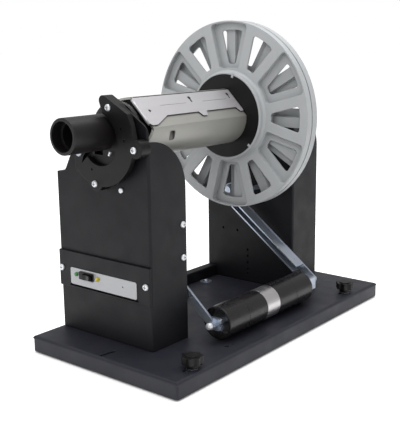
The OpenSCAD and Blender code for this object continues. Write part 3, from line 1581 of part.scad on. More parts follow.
// Ball bearings in the ends of the core
module roller_bearings() color("#9a9da0") on_base() translate([0, roller_y, roller_z])
    for (x0 = [roller_x0 + bearing_in, roller_x1 - bearing_in - bearing_w])
        turned_x() translate([roller_shaft_r + run_gap, x0])
            square([roller_r - 2 * sleeve_wall - roller_shaft_r - run_gap, bearing_w]);

// Knobs

// Lobed outline of a star knob
function star_pts(r, lobes) = [
    for (a = [0:5:355]) (r * (0.9 + 0.1 * cos(lobes * a))) * [cos(a), sin(a)]
];

module star_knob() {
    low = washer_t;
    head_z0 = knob_h - knob_head_h;
    translate([0, 0, head_z0]) linear_extrude(knob_head_h - knob_edge) polygon(star_pts(knob_r, knob_lobes));
    translate([0, 0, knob_h - knob_edge]) cylinder(h = knob_edge, r = knob_r * knob_top_share);
    translate([0, 0, low]) cylinder(h = head_z0 - low, r = knob_hub_r);
    translate([0, 0, -base_t - nut_t - stud_end]) cylinder(h = base_t + nut_t + stud_end + low, r = stud_r);
}

module knob_front() color(black) on_base() translate([front_knob.x, front_knob.y, base_top]) star_knob();

module knob_right() color(black) on_base() translate([right_knob.x, right_knob.y, base_top]) star_knob();

module knob_washers() color(zinc) on_base()
    for (p = [front_knob, right_knob])
        translate([p.x, p.y, base_top]) difference() {
            cylinder(h = washer_t, r = washer_r);
            translate([0, 0, -over]) cylinder(h = washer_t + 2 * over, r = stud_r + run_gap);
        }

module slot_nuts() color(zinc) on_base()
    for (p = [front_knob, right_knob])
        translate([p.x, p.y, base_top - base_t - nut_t]) difference() {
            linear_extrude(nut_t) polygon(box_pts([-nut_half, -nut_half], [nut_half, nut_half], knob_edge));
            translate([0, 0, -over]) cylinder(h = nut_t + 2 * over, r = stud_r + run_gap);
        }

base_plate();
rubber_feet();
left_housing();
left_inner_cover();
control_cover();
control_panel();
green_lamp();
yellow_lamp();
switch_body();
switch_rocker();
control_board();
board_standoffs();
power_inlet();
rear_rail();
rail_screws();
side_screws();
cover_screws();
plate_stud();
right_housing();
right_cover();
right_trim();
drive_cap();
drive_bracket();
bracket_posts();
drive_motor();
motor_gearbox();
motor_pinion();
drive_gear();
drive_shaft();
shaft_bearings();
bearing_block_front();
bearing_block_back();
block_screws();
seat_pin();
spindle_latch();
latch_pin();
spindle_tube();
end_collar();
mandrel_body();
mandrel_end_discs();
clamp_plate();
clamp_posts();
hub_disc();
wheel_front();
wheel_back();
dancer_arm_left();
dancer_arm_right();
arm_end_blocks();
arm_bolts();
dancer_pivots();
dancer_spring();
arm_stop();
roller_shaft();
roller_core();
roller_sleeves();
roller_bearings();
knob_front();
knob_right();
knob_washers();
slot_nuts();
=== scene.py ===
import json
import math

import bmesh
import bpy
from mathutils import Matrix, Vector
from mathutils.geometry import tessellate_polygon


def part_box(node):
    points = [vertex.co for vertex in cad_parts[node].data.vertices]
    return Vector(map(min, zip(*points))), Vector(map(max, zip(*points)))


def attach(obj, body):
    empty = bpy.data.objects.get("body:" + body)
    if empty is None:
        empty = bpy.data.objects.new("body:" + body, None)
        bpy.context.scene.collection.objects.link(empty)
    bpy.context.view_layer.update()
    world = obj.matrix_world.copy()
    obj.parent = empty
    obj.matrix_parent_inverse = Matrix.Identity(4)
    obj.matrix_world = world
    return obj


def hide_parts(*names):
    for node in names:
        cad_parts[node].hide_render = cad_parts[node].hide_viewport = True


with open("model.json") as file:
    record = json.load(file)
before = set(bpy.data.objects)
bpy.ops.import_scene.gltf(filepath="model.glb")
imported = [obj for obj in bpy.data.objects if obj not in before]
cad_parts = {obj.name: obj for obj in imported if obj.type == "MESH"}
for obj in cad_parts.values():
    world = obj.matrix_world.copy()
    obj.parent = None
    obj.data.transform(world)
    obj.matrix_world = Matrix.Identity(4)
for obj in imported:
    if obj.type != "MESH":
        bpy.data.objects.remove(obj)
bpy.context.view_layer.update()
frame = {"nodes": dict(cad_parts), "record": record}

NODES = frame["nodes"]

# Which material slot each node has
SLOT_OF = {s["node"]: s["material_slot"] for s in frame["record"]["subparts"]}


# Camera: solved from the photograph's edges, in the row frame
FOCAL_PX = 811.8
IMAGE_W, IMAGE_H = 400, 422
CENTRE_PX = (225.3, 205.6)
YAW, PITCH, ROLL = math.radians(52.038), math.radians(11.789), math.radians(-0.388)
CAMERA_AT = Vector((-0.8282, -0.6794, 0.3873))
SENSOR = 36.0


def add_camera():
    forward = Vector((
        math.sin(YAW) * math.cos(PITCH),
        math.cos(YAW) * math.cos(PITCH),
        -math.sin(PITCH),
    ))
    level = Vector((math.cos(YAW), -math.sin(YAW), 0.0))
    above = level.cross(forward)
    right = math.cos(ROLL) * level + math.sin(ROLL) * above
    up = -math.sin(ROLL) * level + math.cos(ROLL) * above
    turn = Matrix((right, up, -forward)).transposed().to_4x4()
    data = bpy.data.cameras.new("camera")
    data.sensor_width = SENSOR
    data.lens = FOCAL_PX * SENSOR / IMAGE_H
    data.shift_x = (IMAGE_W / 2 - CENTRE_PX[0]) / IMAGE_H
    data.shift_y = (CENTRE_PX[1] - IMAGE_H / 2) / IMAGE_H
    data.clip_start, data.clip_end = 0.01, 50.0
    camera = bpy.data.objects.new("camera", data)
    camera.matrix_world = Matrix.Translation(CAMERA_AT) @ turn
    bpy.context.scene.collection.objects.link(camera)
    bpy.context.scene.camera = camera


# Materials

def linear(rgb):
    """sRGB values from 0 to 255 as linear light."""
    def one(c):
        c /= 255
        return c / 12.92 if c <= 0.04045 else ((c + 0.055) / 1.055) ** 2.4
    return tuple(one(c) for c in rgb) + (1.0,)


class Maker:
    """Adds nodes to one material and joins them."""

    def __init__(self, name):
        self.material = bpy.data.materials.new(name)
        self.material.use_nodes = True
        self.tree = self.material.node_tree
        self.shader = self.tree.nodes["Principled BSDF"]
        self.at = self.add("ShaderNodeTexCoord").outputs["Object"]

    def add(self, kind, **values):
        node = self.tree.nodes.new(kind)
        for key, value in values.items():
            if hasattr(node, key):
                setattr(node, key, value)
            else:
                node.inputs[key.replace("_", " ")].default_value = value
        return node

    def join(self, a, b):
        self.tree.links.new(a, b)

    def stretched(self, scale):
        node = self.add("ShaderNodeMapping")
        node.inputs["Scale"].default_value = scale
        self.join(self.at, node.inputs["Vector"])
        return node.outputs["Vector"]

    def noise(self, scale, detail=3.0, rough=0.5, at=None):
        node = self.add("ShaderNodeTexNoise")
        node.inputs["Scale"].default_value = scale
        node.inputs["Detail"].default_value = detail
        node.inputs["Roughness"].default_value = rough
        self.join(at or self.at, node.inputs["Vector"])
        return node.outputs["Fac"]

    def mix(self, factor, a, b):
        node = self.add("ShaderNodeMix", data_type="RGBA")
        for value, key in ((factor, "Factor"), (a, "A"), (b, "B")):
            socket = next(s for s in node.inputs if s.name == key and s.enabled)
            if isinstance(value, (tuple, float, int)):
                socket.default_value = value
            else:
                self.join(value, socket)
        return next(s for s in node.outputs if s.enabled)

    def ramp(self, value, low, high, out_low=0.0, out_high=1.0):
        node = self.add("ShaderNodeMapRange")
        self.join(value, node.inputs["Value"])
        for key, number in (("From Min", low), ("From Max", high), ("To Min", out_low), ("To Max", out_high)):
            node.inputs[key].default_value = number
        return node.outputs["Result"]

    def math(self, what, a, b=0.0):
        node = self.add("ShaderNodeMath", operation=what)
        for i, value in enumerate((a, b)):
            if isinstance(value, (float, int)):
                node.inputs[i].default_value = value
            else:
                self.join(value, node.inputs[i])
        return node.outputs["Value"]

    def edges(self, radius):
        """Normal rounded near edges, and a mask that is 1 on the edges themselves."""
        bevel = self.add("ShaderNodeBevel", samples=6)
        bevel.inputs["Radius"].default_value = radius
        true = self.add("ShaderNodeNewGeometry").outputs["Normal"]
        dot = self.add("ShaderNodeVectorMath", operation="DOT_PRODUCT")
        self.join(bevel.outputs["Normal"], dot.inputs[0])
        self.join(true, dot.inputs[1])
        return bevel.outputs["Normal"], self.ramp(dot.outputs["Value"], 0.998, 0.85)

    def bump(self, height, distance, strength, normal=None):
        node = self.add("ShaderNodeBump")
        node.inputs["Distance"].default_value = distance
        node.inputs["Strength"].default_value = strength
        self.join(height, node.inputs["Height"])
        if normal:
            self.join(normal, node.inputs["Normal"])
        return node.outputs["Normal"]

    def painted_crevice_shade(self, color, reach, depth):
        """The colour with painted shade: darker in narrow gaps and corners, by ambient occlusion."""
        node = self.add("ShaderNodeAmbientOcclusion", samples=6)
        node.inputs["Distance"].default_value = reach
        shade = self.ramp(node.outputs["AO"], 0.2, 0.85, 1.0 - depth, 1.0)
        scaled = self.add("ShaderNodeVectorMath", operation="SCALE")
        self.join(color, scaled.inputs["Vector"])
        self.join(shade, scaled.inputs["Scale"])
        return scaled.outputs["Vector"]

    def finish(self, color, rough, normal):
        self.join(color, self.shader.inputs["Base Color"])
        self.join(rough, self.shader.inputs["Roughness"])
        self.join(normal, self.shader.inputs["Normal"])
        return self.material


def powder_coat(name, rgb, shine, rough=0.5, grain=2600.0, radius=0.0009, wear=0.25):
    """Textured paint on sheet metal: fine grain, cloudy sheen, edges rubbed a little lighter."""
    m = Maker(name)
    normal, edge = m.edges(radius)
    base = linear(rgb)
    lighter = tuple(min(1.0, c * 1.9 + 0.01) for c in base[:3]) + (1.0,)
    darker = tuple(c * 0.86 for c in base[:3]) + (1.0,)
    fine = m.noise(grain, 2.0, 0.6)
    cloud = m.noise(14.0, 4.0, 0.6)
    color = m.mix(m.ramp(cloud, 0.35, 0.65), darker, base)
    color = m.mix(m.ramp(fine, 0.62, 0.75, 0.0, 0.35), color, lighter)
    rubbed = m.math("MULTIPLY", edge, m.ramp(m.noise(90.0, 3.0), 0.4, 0.7, 0.2, 1.0))
    color = m.mix(m.math("MULTIPLY", rubbed, wear), color, lighter)
    # Painted shade: darker in gaps and corners by ambient occlusion.
    color = m.painted_crevice_shade(color, 0.004, 0.6)
    roughness = m.ramp(m.noise(40.0, 3.0), 0.3, 0.7, rough - 0.06, rough + 0.07)
    m.shader.inputs["Specular IOR Level"].default_value = shine
    return m.finish(color, roughness, m.bump(fine, 0.00006, 0.55, normal))


def plastic(
    name, rgb, rough=0.42, grain=1500.0, bump=0.25, radius=0.0007, spread=0.08,
    edge_highlight_gain=0.22, shine=0.5, shade=(0.004, 0.5),
):
    """Moulded plastic: fine spark-eroded grain, slight cloudiness, and a painted highlight that lightens the
    edges.
    """
    m = Maker(name)
    normal, edge = m.edges(radius)
    base = linear(rgb)
    low = tuple(c * (1 - spread) for c in base[:3]) + (1.0,)
    light = tuple(min(1.0, c * 1.25 + 0.006) for c in base[:3]) + (1.0,)
    fine = m.noise(grain, 2.0, 0.55)
    color = m.mix(m.ramp(m.noise(22.0, 4.0, 0.6), 0.35, 0.65), low, base)
    # Painted highlight: edges mixed towards a lighter colour.
    color = m.mix(m.math("MULTIPLY", edge, edge_highlight_gain), color, light)
    # Painted shade: darker in gaps and corners by ambient occlusion.
    color = m.painted_crevice_shade(color, *shade)
    roughness = m.ramp(m.noise(60.0, 3.0), 0.3, 0.7, rough - 0.05, rough + 0.06)
    m.shader.inputs["Specular IOR Level"].default_value = shine
    return m.finish(color, roughness, m.bump(fine, 0.00005, bump, normal))


def metal(
    name, rgb, rough=0.3, lines=(6.0, 900.0, 900.0), strength=0.12, radius=0.0005,
    spread=0.1, metallic=1.0, shade=(0.003, 0.5),
):
    """Metal with fine lines drawn along one axis, a faint change of tint and a painted highlight that
    lightens the edges.
    """
    m = Maker(name)
    normal, edge = m.edges(radius)
    base = linear(rgb)
    low = tuple(c * (1 - spread) for c in base[:3]) + (1.0,)
    lined = m.noise(1.0, 4.0, 0.65, m.stretched(lines))
    cloud = m.noise(30.0, 3.0, 0.55)
    color = m.mix(m.ramp(lined, 0.3, 0.7), low, base)
    color = m.mix(m.ramp(cloud, 0.35, 0.7, 0.0, 0.6), color, base)
    # Painted highlight: edges mixed towards a lighter colour.
    lighter = tuple(min(1.0, c * 1.35) for c in base[:3]) + (1.0,)
    # Painted shade: darker in gaps and corners by ambient occlusion.
    color = m.painted_crevice_shade(m.mix(m.math("MULTIPLY", edge, 0.5), color, lighter), *shade)
    drawn = m.ramp(lined, 0.3, 0.7, rough - 0.05, rough + 0.06)
    roughness = m.math("ADD", drawn, m.math("MULTIPLY", edge, 0.05))
    m.shader.inputs["Metallic"].default_value = metallic
    return m.finish(color, roughness, m.bump(lined, 0.00004, strength, normal))


def zinc_plate(name, rgb, rough):
    """Bright zinc plating: smooth, with a faint change of tint and gloss and a painted highlight that
    lightens the edges.
    """
    m = Maker(name)
    normal, edge = m.edges(0.0003)
    base = linear(rgb)
    blue = linear((rgb[0] - 12, rgb[1] - 8, rgb[2] - 2))
    lighter = tuple(min(1.0, c * 1.3) for c in base[:3]) + (1.0,)
    cloud = m.noise(38.0, 3.0, 0.55)
    color = m.mix(m.ramp(cloud, 0.35, 0.65), blue, base)
    # Painted highlight: edges mixed towards a lighter colour.
    color = m.mix(m.math("MULTIPLY", edge, 0.6), color, lighter)
    roughness = m.ramp(m.noise(160.0, 3.0), 0.3, 0.7, rough - 0.03, rough + 0.04)
    m.shader.inputs["Metallic"].default_value = 0.8
    return m.finish(color, roughness, normal)


def lamp_cap(name, rgb):
    """Tinted clear plastic of an indicator lamp."""
    m = Maker(name)
    normal = m.edges(0.0003)[0]
    base = linear(rgb)
    deep = tuple(c * 0.45 for c in base[:3]) + (1.0,)
    color = m.mix(m.ramp(m.noise(380.0, 2.0), 0.3, 0.7), deep, base)
    m.shader.inputs["Subsurface Weight"].default_value = 0.15
    m.shader.inputs["Subsurface Radius"].default_value = (0.001, 0.001, 0.0005)
    m.shader.inputs["Coat Weight"].default_value = 0.6
    return m.finish(color, m.ramp(m.noise(90.0), 0.3, 0.7, 0.16, 0.24), normal)


def make_materials():
    return {
        "dark_paint": powder_coat("dark_paint", (24, 24, 28), shine=0.22),
        "pan_paint": powder_coat("pan_paint", (37, 38, 47), shine=0.32),
        "black_plastic": plastic("black_plastic", (14, 12, 13), 0.4, shine=0.24),
        "tube_black": plastic("tube_black", (24, 21, 22), 0.42, 900.0, 0.35, shine=0.32),
        "mandrel_alloy": metal(
            "mandrel_alloy", (163, 162, 157), 0.42, (4.0, 700.0, 700.0),
            0.1, 0.0008, 0.06, 0.5, (0.003, 0.9)),
        "clamp_sheet": metal(
            "clamp_sheet", (192, 190, 193), 0.4, (4.0, 800.0, 800.0),
            0.1, 0.0004, 0.05, 0.45, (0.0025, 0.9)),
        "wheel_grey": plastic(
            "wheel_grey", (186, 189, 191), 0.5, 1400.0, 0.25, 0.0014, 0.05, shade=(0.012, 0.3)),
        "zinc": zinc_plate("zinc", (176, 182, 192), 0.3),
        "bright_band": metal(
            "bright_band", (196, 193, 195), 0.34, (500.0, 5.0, 5.0), 0.03, 0.0005, 0.04),
        "panel_silver": metal(
            "panel_silver", (174, 175, 178), 0.42, (900.0, 5.0, 900.0), 0.1, 0.0004, 0.04, 0.4),
        "lamp_green": lamp_cap("lamp_green", (40, 160, 60)),
        "lamp_yellow": lamp_cap("lamp_yellow", (240, 220, 24)),
        "board_green": plastic("board_green", (34, 84, 50), 0.35),
        "foot_rubber": plastic("foot_rubber", (26, 26, 26), 0.8, 700.0, 0.5, shine=0.2),
        "sleeve_black": plastic("sleeve_black", (24, 21, 23), 0.3, 1100.0, 0.2, shine=0.4),
        "gear_plastic": plastic("gear_plastic", (214, 207, 188), 0.4),
        "pinion_brass": metal("pinion_brass", (196, 160, 92), 0.28),
        "motor_steel": metal("motor_steel", (150, 152, 155), 0.35),
        "screw_white": metal(
            "screw_white", (232, 234, 238), 0.38, (60.0, 60.0, 60.0),
            0.1, 0.0003, 0.04, 0.5, (0.0012, 0.8)),
        "gloss_black": plastic("gloss_black", (20, 18, 18), 0.16, 600.0, 0.1),
        "slot_grey": plastic("slot_grey", (120, 119, 117), 0.6, shade=(0.008, 0.85)),
    }


# Nodes whose finish differs from the rest of their slot
SPECIAL = {
    "block_screws": "screw_white",
    "cover_screws": "screw_white",
    "side_screws": "screw_white",
    "plate_stud": "screw_white",
    "right_trim": "black_plastic",
    "base_plate": "pan_paint",
}


def dress_frame(materials):
    for node, piece in NODES.items():
        piece.data.materials.clear()
        piece.data.materials.append(materials[SPECIAL.get(node, SLOT_OF[node])])


# Own pieces

def tube_mesh(name, path, radius, sides=16):
    """Closed round tube along a path, with the path's ends capped."""
    bm = bmesh.new()
    rings = []
    side = None
    for i, point in enumerate(path):
        along = (path[min(i + 1, len(path) - 1)] - path[max(i - 1, 0)]).normalized()
        side = along.orthogonal() if side is None else side - side.dot(along) * along
        side.normalize()
        up = along.cross(side)
        rings.append([
            bm.verts.new(point + radius * (math.cos(t) * side + math.sin(t) * up))
            for t in (math.tau * k / sides for k in range(sides))
        ])
    for low, high in zip(rings, rings[1:]):
        for k in range(sides):
            face = bm.faces.new((low[k], low[(k + 1) % sides], high[(k + 1) % sides], high[k]))
            face.smooth = True
    bm.faces.new(reversed(rings[0]))
    bm.faces.new(rings[-1])
    bmesh.ops.recalc_face_normals(bm, faces=bm.faces)
    mesh = bpy.data.meshes.new(name)
    bm.to_mesh(mesh)
    bm.free()
    piece = bpy.data.objects.new(name, mesh)
    bpy.context.scene.collection.objects.link(piece)
    return piece


def rounded(corners, steps=8):
    """Outline through corners (x, y, radius) with each corner rounded to its radius."""
    out = []
    for i, (x, y, r) in enumerate(corners):
        p = Vector((x, y))
        a = (Vector(corners[i - 1][:2]) - p).normalized()
        b = (Vector(corners[(i + 1) % len(corners)][:2]) - p).normalized()
        if r == 0:
            out.append(p)
            continue
        half = a.angle(b) / 2
        centre = p + (a + b).normalized() * r / math.sin(half)
        start = p + a * r / math.tan(half) - centre
        turn = (p + b * r / math.tan(half) - centre)
        sweep = start.angle(turn)
        sign = 1 if start.x * turn.y - start.y * turn.x > 0 else -1
        for k in range(steps + 1):
            t = sign * sweep * k / steps
            out.append(centre + Vector((
                start.x * math.cos(t) - start.y * math.sin(t),
                start.x * math.sin(t) + start.y * math.cos(t),
            )))
    return out


def circle(x, y, r, steps=24):
    return [Vector((x + r * math.cos(math.tau * k / steps), y + r * math.sin(math.tau * k / steps)))
            for k in range(steps)]


def plate_mesh(bm, outline, holes, low, high, place):
    """Plate between two heights with holes through it; place turns (x, y, height) into a point."""
    loops = [outline] + holes
    flat = [p for loop in loops for p in loop]
    tops = [bm.verts.new(place(p.x, p.y, high)) for p in flat]
    feet = [bm.verts.new(place(p.x, p.y, low)) for p in flat]
    for tri in tessellate_polygon([[(p.x, p.y, 0.0) for p in loop] for loop in loops]):
        bm.faces.new([tops[i] for i in tri])
        bm.faces.new([feet[i] for i in reversed(tri)])
    start = 0
    for loop in loops:
        n = len(loop)
        for k in range(n):
            i, j = start + k, start + (k + 1) % n
            bm.faces.new((tops[i], tops[j], feet[j], feet[i]))
        start += n


def lathe_x(bm, profile, centre, steps=72):
    """Closed ring turned about X: profile holds (x, radius) pairs, centre is (y, z)."""
    rings = []
    for k in range(steps):
        t = math.tau * k / steps
        rings.append([
            bm.verts.new((x, centre[0] + r * math.cos(t), centre[1] + r * math.sin(t))) for x, r in profile
        ])
    n = len(profile)
    for k in range(steps):
        low, high = rings[k], rings[(k + 1) % steps]
        for i in range(n):
            j = (i + 1) % n
            bm.faces.new((low[i], low[j], high[j], high[i]))


def new_piece(name, bm, material, body, smooth_angle=35.0):
    """Piece from a bmesh, smooth over its rounds and crisp at its corners."""
    bmesh.ops.recalc_face_normals(bm, faces=bm.faces)
    for face in bm.faces:
        face.smooth = True
    limit = math.radians(smooth_angle)
    for edge in bm.edges:
        edge.smooth = len(edge.link_faces) == 2 and edge.calc_face_angle(0.0) < limit
    mesh = bpy.data.meshes.new(name)
    bm.to_mesh(mesh)
    bm.free()
    mesh.materials.append(material)
    piece = bpy.data.objects.new(name, mesh)
    bpy.context.scene.collection.objects.link(piece)
    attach(piece, body)
    return piece


# Measures repeated from part.scad, in metres and in the row frame
SPINDLE_Y, SPINDLE_Z = 0.008, 0.28
ROW_X = 0.01
MANDREL_R = 0.037
FLAT_D = 0.028
PLATE_T = 0.0018
PLATE_X0, PLATE_X1 = -0.143 + ROW_X, 0.0431 + ROW_X
PLATE_SIDE = math.sqrt(MANDREL_R ** 2 - FLAT_D ** 2) - 0.0027
PLATE_FRONT = PLATE_SIDE - 0.012
SHEET_T = 0.0005


def on_flat(x, v, h):
    """Point at v across the mandrel's flat and h out of it."""
    d = FLAT_D + h
    return (x, SPINDLE_Y + (v - d) * math.sqrt(0.5), SPINDLE_Z + (v + d) * math.sqrt(0.5))


def plate_outline(inset=0.0, rear=0.0):
    """The clamp plate's outline, drawn in by inset; its rear edge moves out by rear."""
    x0, x1 = PLATE_X0 + inset, PLATE_X1 - inset
    side, front = PLATE_SIDE - inset, PLATE_FRONT - inset
    low = front + 0.007
    ramp0, ramp1 = PLATE_X0 + 0.012, PLATE_X0 + 0.038
    mid, tab = PLATE_X1 - 0.081, 0.008 - inset / 2
    return rounded([
        (x0, side + rear, 0.0015), (x0, -side, 0.004), (ramp0, -side, 0.004), (ramp1, -front, 0.002),
        (mid - tab, -front, 0.0015), (mid - tab / 2, -low, 0.002), (mid + tab / 2, -low, 0.002),
        (mid + tab, -front, 0.0015), (x1 - 0.011, -front, 0.0015), (x1 - 0.0075, -low, 0.002),
        (x1, -low, 0.0015), (x1, side + rear, 0.0015),
    ])


def keyhole(x, v):
    """Outline of a keyhole: a round head with a narrower slot that ends round."""
    head, neck, drop = 0.0025, 0.0011, 0.006
    start = math.asin(neck / head)
    points = []
    for k in range(21):
        t = -math.pi / 2 + start + (math.tau - 2 * start) * k / 20
        points.append(Vector((x + head * math.cos(t), v + head * math.sin(t))))
    for k in range(9):
        t = math.pi + math.pi * k / 8
        points.append(Vector((x + 1.2 * neck * math.cos(t), v - drop + 1.2 * neck * math.sin(t))))
    return points


def add_clamp(materials):
    """Thin clamp sheet with its keyholes over a black layer: painted shadow that gives the dark line round
    the sheet and in its holes.
    """
    bm = bmesh.new()
    holes = [keyhole(PLATE_X1 - q, PLATE_SIDE - 0.0078) for q in (0.0885, 0.0095)]
    holes.append(circle(PLATE_X0 + 0.014, 0.0, 0.002))
    for x in (PLATE_X0 + 0.037, PLATE_X1 - 0.068):
        holes.append([Vector(p) for p in (
            (x, 0.006), (x, 0.0064), (x + 0.049, 0.0064), (x + 0.049, 0.006))])
    plate_mesh(bm, plate_outline(), holes, PLATE_T - SHEET_T, PLATE_T, on_flat)
    sheet = new_piece("clamp_sheet_top", bm, materials["clamp_sheet"], "clamp")
    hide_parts("clamp_plate")

    bm = bmesh.new()
    path = [Vector(on_flat(PLATE_X0, v, PLATE_T - 0.002)) for v in (
        -PLATE_SIDE + 0.003, -PLATE_SIDE / 2, 0.0, PLATE_SIDE / 2, PLATE_SIDE - 0.0015)]
    lip = tube_mesh("clamp_lip", path, 0.0019, 20)
    lip.data.materials.append(materials["clamp_sheet"])
    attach(lip, "clamp")

    # Black layer just inside the sheet's outline: painted shadow of the gap under the plate, seen round its
    # edge and through its holes.
    plate_mesh(bm, plate_outline(0.0004), [], 0.00005, PLATE_T - SHEET_T - 0.00002, on_flat)
    # Black strip along the rear edge: a painted shadow line.
    strip = [Vector(p) for p in (
        (PLATE_X0 + 0.004, PLATE_SIDE - 0.001), (PLATE_X1, PLATE_SIDE - 0.001),
        (PLATE_X1, PLATE_SIDE + 0.0025), (PLATE_X0 + 0.004, PLATE_SIDE + 0.0025))]
    plate_mesh(bm, strip, [], 0.00005, 0.0003, on_flat)
    new_piece("clamp_shadow_layer", bm, materials["black_plastic"], "clamp")


COLLAR_X0 = -0.1719 + ROW_X


def add_collar_ring(materials):
    """Glossy black rings between the left housing and the mandrel."""
    x0 = COLLAR_X0
    bm = bmesh.new()
    lathe_x(bm, [
        (x0, 0.02105), (x0, 0.0318), (x0 + 0.0008, 0.0326), (x0 + 0.0044, 0.0326), (x0 + 0.005, 0.0312),
        (x0 + 0.0056, 0.0290), (x0 + 0.0082, 0.0290), (x0 + 0.0088, 0.0322), (x0 + 0.0096, 0.0334),
        (x0 + 0.0148, 0.0334), (x0 + 0.0158, 0.0324), (x0 + 0.016, 0.02105),
    ], (SPINDLE_Y, SPINDLE_Z), 96)
    ring = new_piece("collar_ring", bm, materials["gloss_black"], "spindle", 50.0)
    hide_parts("end_collar")


SLOT_X, SLOT_Z = -0.106 + ROW_X, -0.0095
SLOT_W, SLOT_H = 0.0105, 0.012


def on_round(x, z, depth):
    """Point of the mandrel's round side at height z from the spindle's axis, depth inside it."""
    return (x, SPINDLE_Y - math.sqrt((MANDREL_R + 0.00002) ** 2 - z ** 2) + depth, SPINDLE_Z + z)


def add_slot(materials):
    """Rounded lip in the mandrel's side slot, and the sloping dish behind it."""
    w, h = SLOT_W / 2 - 0.0001, SLOT_H / 2 - 0.0001
    steps = 6
    sides = [(-w, -h), (w, -h), (w, h), (-w, h)]
    outer = []
    for (ax, az), (bx, bz) in zip(sides, sides[1:] + sides[:1]):
        for k in range(steps):
            t = k / steps
            outer.append(Vector((SLOT_X + ax + (bx - ax) * t, SLOT_Z + az + (bz - az) * t)))
    inner = rounded([(SLOT_X + x * 0.93, SLOT_Z + z * 0.95, 0.0024) for x, z in sides], 6)
    bm = bmesh.new()
    plate_mesh(bm, outer, [inner], 0.0029, 0.0, on_round)
    new_piece("slot_lip", bm, materials["mandrel_alloy"], "spindle")
    bm = bmesh.new()
    low = [bm.verts.new(on_round(p.x, p.y, 0.0006 + 0.0040 * (p.y - SLOT_Z + h) / (2 * h))) for p in inner]
    back = [bm.verts.new(on_round(p.x, p.y, 0.0060)) for p in inner]
    bm.faces.new(low)
    bm.faces.new(reversed(back))
    for k in range(len(inner)):
        j = (k + 1) % len(inner)
        bm.faces.new((low[k], low[j], back[j], back[k]))
    new_piece("slot_dish", bm, materials["slot_grey"], "spindle")


ROLLER_Y, ROLLER_Z = -0.092, 0.0445


CAP_X = -0.1161 + ROW_X


def add_shaft_cap(materials):
    """Domed end of the roller's shaft outside the left arm."""
    bm = bmesh.new()
    x = CAP_X
    lathe_x(bm, [
        (x, 0.0008), (x, 0.0042), (x - 0.0032, 0.0044), (x - 0.0046, 0.0038), (x - 0.0054, 0.0026),
        (x - 0.0057, 0.0008),
    ], (ROLLER_Y, ROLLER_Z), 40)
    new_piece("shaft_cap", bm, materials["screw_white"], "dancer", 30.0)


BLADE_AT = (-0.1875 + ROW_X, SPINDLE_Y - 0.013, SPINDLE_Z - 0.0245)
BLADE_HALF_W, BLADE_LOW, BLADE_HIGH = 0.0011, -0.0028, 0.0026
BLADE_R, BLADE_T = 0.0006, 0.003
BLADE_TILT = math.radians(28.0)


def add_seat_blade(materials):
    """Bright slanted tongue beside the notch under the tube."""
    bm = bmesh.new()
    x, y, z = BLADE_AT
    turn_c, turn_s = math.cos(BLADE_TILT), math.sin(BLADE_TILT)

    def place(u, v, d):
        return (x - d, y + u * turn_c - v * turn_s, z + u * turn_s + v * turn_c)

    outline = rounded([
        (-BLADE_HALF_W, BLADE_LOW, BLADE_R), (BLADE_HALF_W, BLADE_LOW, BLADE_R),
        (BLADE_HALF_W, BLADE_HIGH, BLADE_R), (-BLADE_HALF_W, BLADE_HIGH, BLADE_R)])
    plate_mesh(bm, outline, [], 0.0, BLADE_T, place)
    blade = new_piece("seat_blade", bm, materials["screw_white"], "frame")
    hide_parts("seat_pin")


# The dancer's torsion spring: measures of its CAD node, in metres
SPRING_WIRE_R = 0.001
SPRING_COIL_R = 0.0088
SPRING_TAIL = 0.002
SPRING_CURLS = 3
SPRING_STEPS = 40


def add_spring(materials):
    low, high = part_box("dancer_spring")
    mid_y, mid_z = (low[1] + high[1]) / 2, (low[2] + high[2]) / 2
    x0, x1 = low[0], high[0]
    run = x1 - x0 - 2 * SPRING_TAIL
    path = [Vector((x0, mid_y + SPRING_COIL_R, mid_z))]
    for i in range(SPRING_CURLS * SPRING_STEPS + 1):
        turn = math.tau * i / SPRING_STEPS
        path.append(Vector((
            x0 + SPRING_TAIL + run * i / (SPRING_CURLS * SPRING_STEPS),
            mid_y + SPRING_COIL_R * math.cos(turn),
            mid_z + SPRING_COIL_R * math.sin(turn),
        )))
    path.append(Vector((x1, mid_y + SPRING_COIL_R, mid_z)))
    piece = tube_mesh("coil_of_dancer", path, SPRING_WIRE_R)
    piece.data.materials.append(materials["zinc"])
    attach(piece, "frame")
    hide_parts("dancer_spring")


# Stage
FLOOR_REACH = 14.0
FLOOR_GLOW = 0.62
FLOOR_SHADE_REACH = 0.1
WORLD_LIGHT, WORLD_SEEN = 0.55, 1.0
LIGHT_AIM = (0.0, 0.0, 0.18)


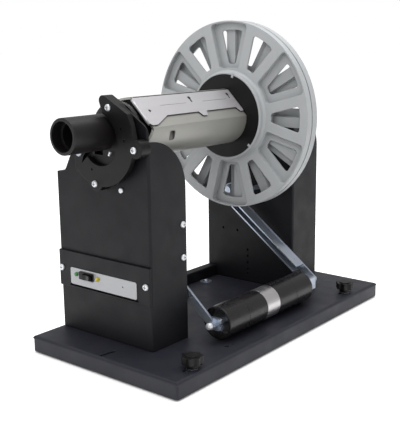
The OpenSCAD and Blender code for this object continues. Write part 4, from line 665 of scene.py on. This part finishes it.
def add_floor():
    size = FLOOR_REACH
    mesh = bpy.data.meshes.new("floor")
    mesh.from_pydata(
        [(-size, -size, 0), (size, -size, 0), (size, size, 0), (-size, size, 0)], [], [(0, 1, 2, 3)]
    )
    floor = bpy.data.objects.new("floor", mesh)
    bpy.context.scene.collection.objects.link(floor)
    material = bpy.data.materials.new("floor")
    material.use_nodes = True
    tree = material.node_tree
    shader = tree.nodes["Principled BSDF"]
    shader.inputs["Base Color"].default_value = (0.8, 0.8, 0.8, 1.0)
    shader.inputs["Roughness"].default_value = 0.9
    shader.inputs["Specular IOR Level"].default_value = 0.0
    path = tree.nodes.new("ShaderNodeLightPath")
    seen = tree.nodes.new("ShaderNodeMath")
    seen.operation = "ADD"
    seen.use_clamp = True
    tree.links.new(path.outputs["Is Camera Ray"], seen.inputs[0])
    tree.links.new(path.outputs["Is Glossy Ray"], seen.inputs[1])
    glow = tree.nodes.new("ShaderNodeMath")
    glow.operation = "MULTIPLY"
    glow.inputs[1].default_value = FLOOR_GLOW
    tree.links.new(seen.outputs["Value"], glow.inputs[0])
    # Painted shade: the floor's glow is darkened by ambient occlusion under and near the object.
    floor_shade_ao = tree.nodes.new("ShaderNodeAmbientOcclusion")
    floor_shade_ao.inputs["Distance"].default_value = FLOOR_SHADE_REACH
    shade = tree.nodes.new("ShaderNodeMath")
    shade.operation = "MULTIPLY"
    tree.links.new(glow.outputs["Value"], shade.inputs[0])
    tree.links.new(floor_shade_ao.outputs["AO"], shade.inputs[1])
    tree.links.new(shade.outputs["Value"], shader.inputs["Emission Strength"])
    shader.inputs["Emission Color"].default_value = (1.0, 1.0, 1.0, 1.0)
    mesh.materials.append(material)


def add_world():
    world = bpy.data.worlds.new("studio")
    bpy.context.scene.world = world
    world.use_nodes = True
    tree = world.node_tree
    background = tree.nodes["Background"]
    path = tree.nodes.new("ShaderNodeLightPath")
    seen = tree.nodes.new("ShaderNodeMath")
    seen.operation = "MAXIMUM"
    tree.links.new(path.outputs["Is Camera Ray"], seen.inputs[0])
    tree.links.new(path.outputs["Is Transmission Ray"], seen.inputs[1])
    strength = tree.nodes.new("ShaderNodeMapRange")
    strength.inputs["To Min"].default_value = WORLD_LIGHT
    strength.inputs["To Max"].default_value = WORLD_SEEN
    tree.links.new(seen.outputs["Value"], strength.inputs["Value"])
    background.inputs["Color"].default_value = (1.0, 1.0, 1.0, 1.0)
    tree.links.new(strength.outputs["Result"], background.inputs["Strength"])


def add_light(name, place, aim, size, power):
    data = bpy.data.lights.new(name, "AREA")
    data.shape = "RECTANGLE"
    data.size, data.size_y = size
    data.energy = power
    lamp = bpy.data.objects.new(name, data)
    lamp.location = place
    lamp.rotation_mode = "QUATERNION"
    lamp.rotation_quaternion = (Vector(aim) - Vector(place)).to_track_quat("-Z", "Y")
    bpy.context.scene.collection.objects.link(lamp)


def add_lights():
    add_light("key", (-1.7, -0.7, 1.5), LIGHT_AIM, (1.2, 1.0), 9.0)
    add_light("fill", (0.6, -1.9, 0.9), LIGHT_AIM, (1.4, 1.0), 1.5)
    add_light("top", (0.1, 0.1, 1.9), LIGHT_AIM, (1.8, 1.4), 30.0)


bpy.context.scene.view_settings.view_transform = "Standard"
add_camera()
MATERIALS = make_materials()
dress_frame(MATERIALS)
for add_piece in (add_spring, add_clamp, add_collar_ring, add_slot, add_shaft_cap, add_seat_blade):
    add_piece(MATERIALS)
add_floor()
add_world()
add_lights()
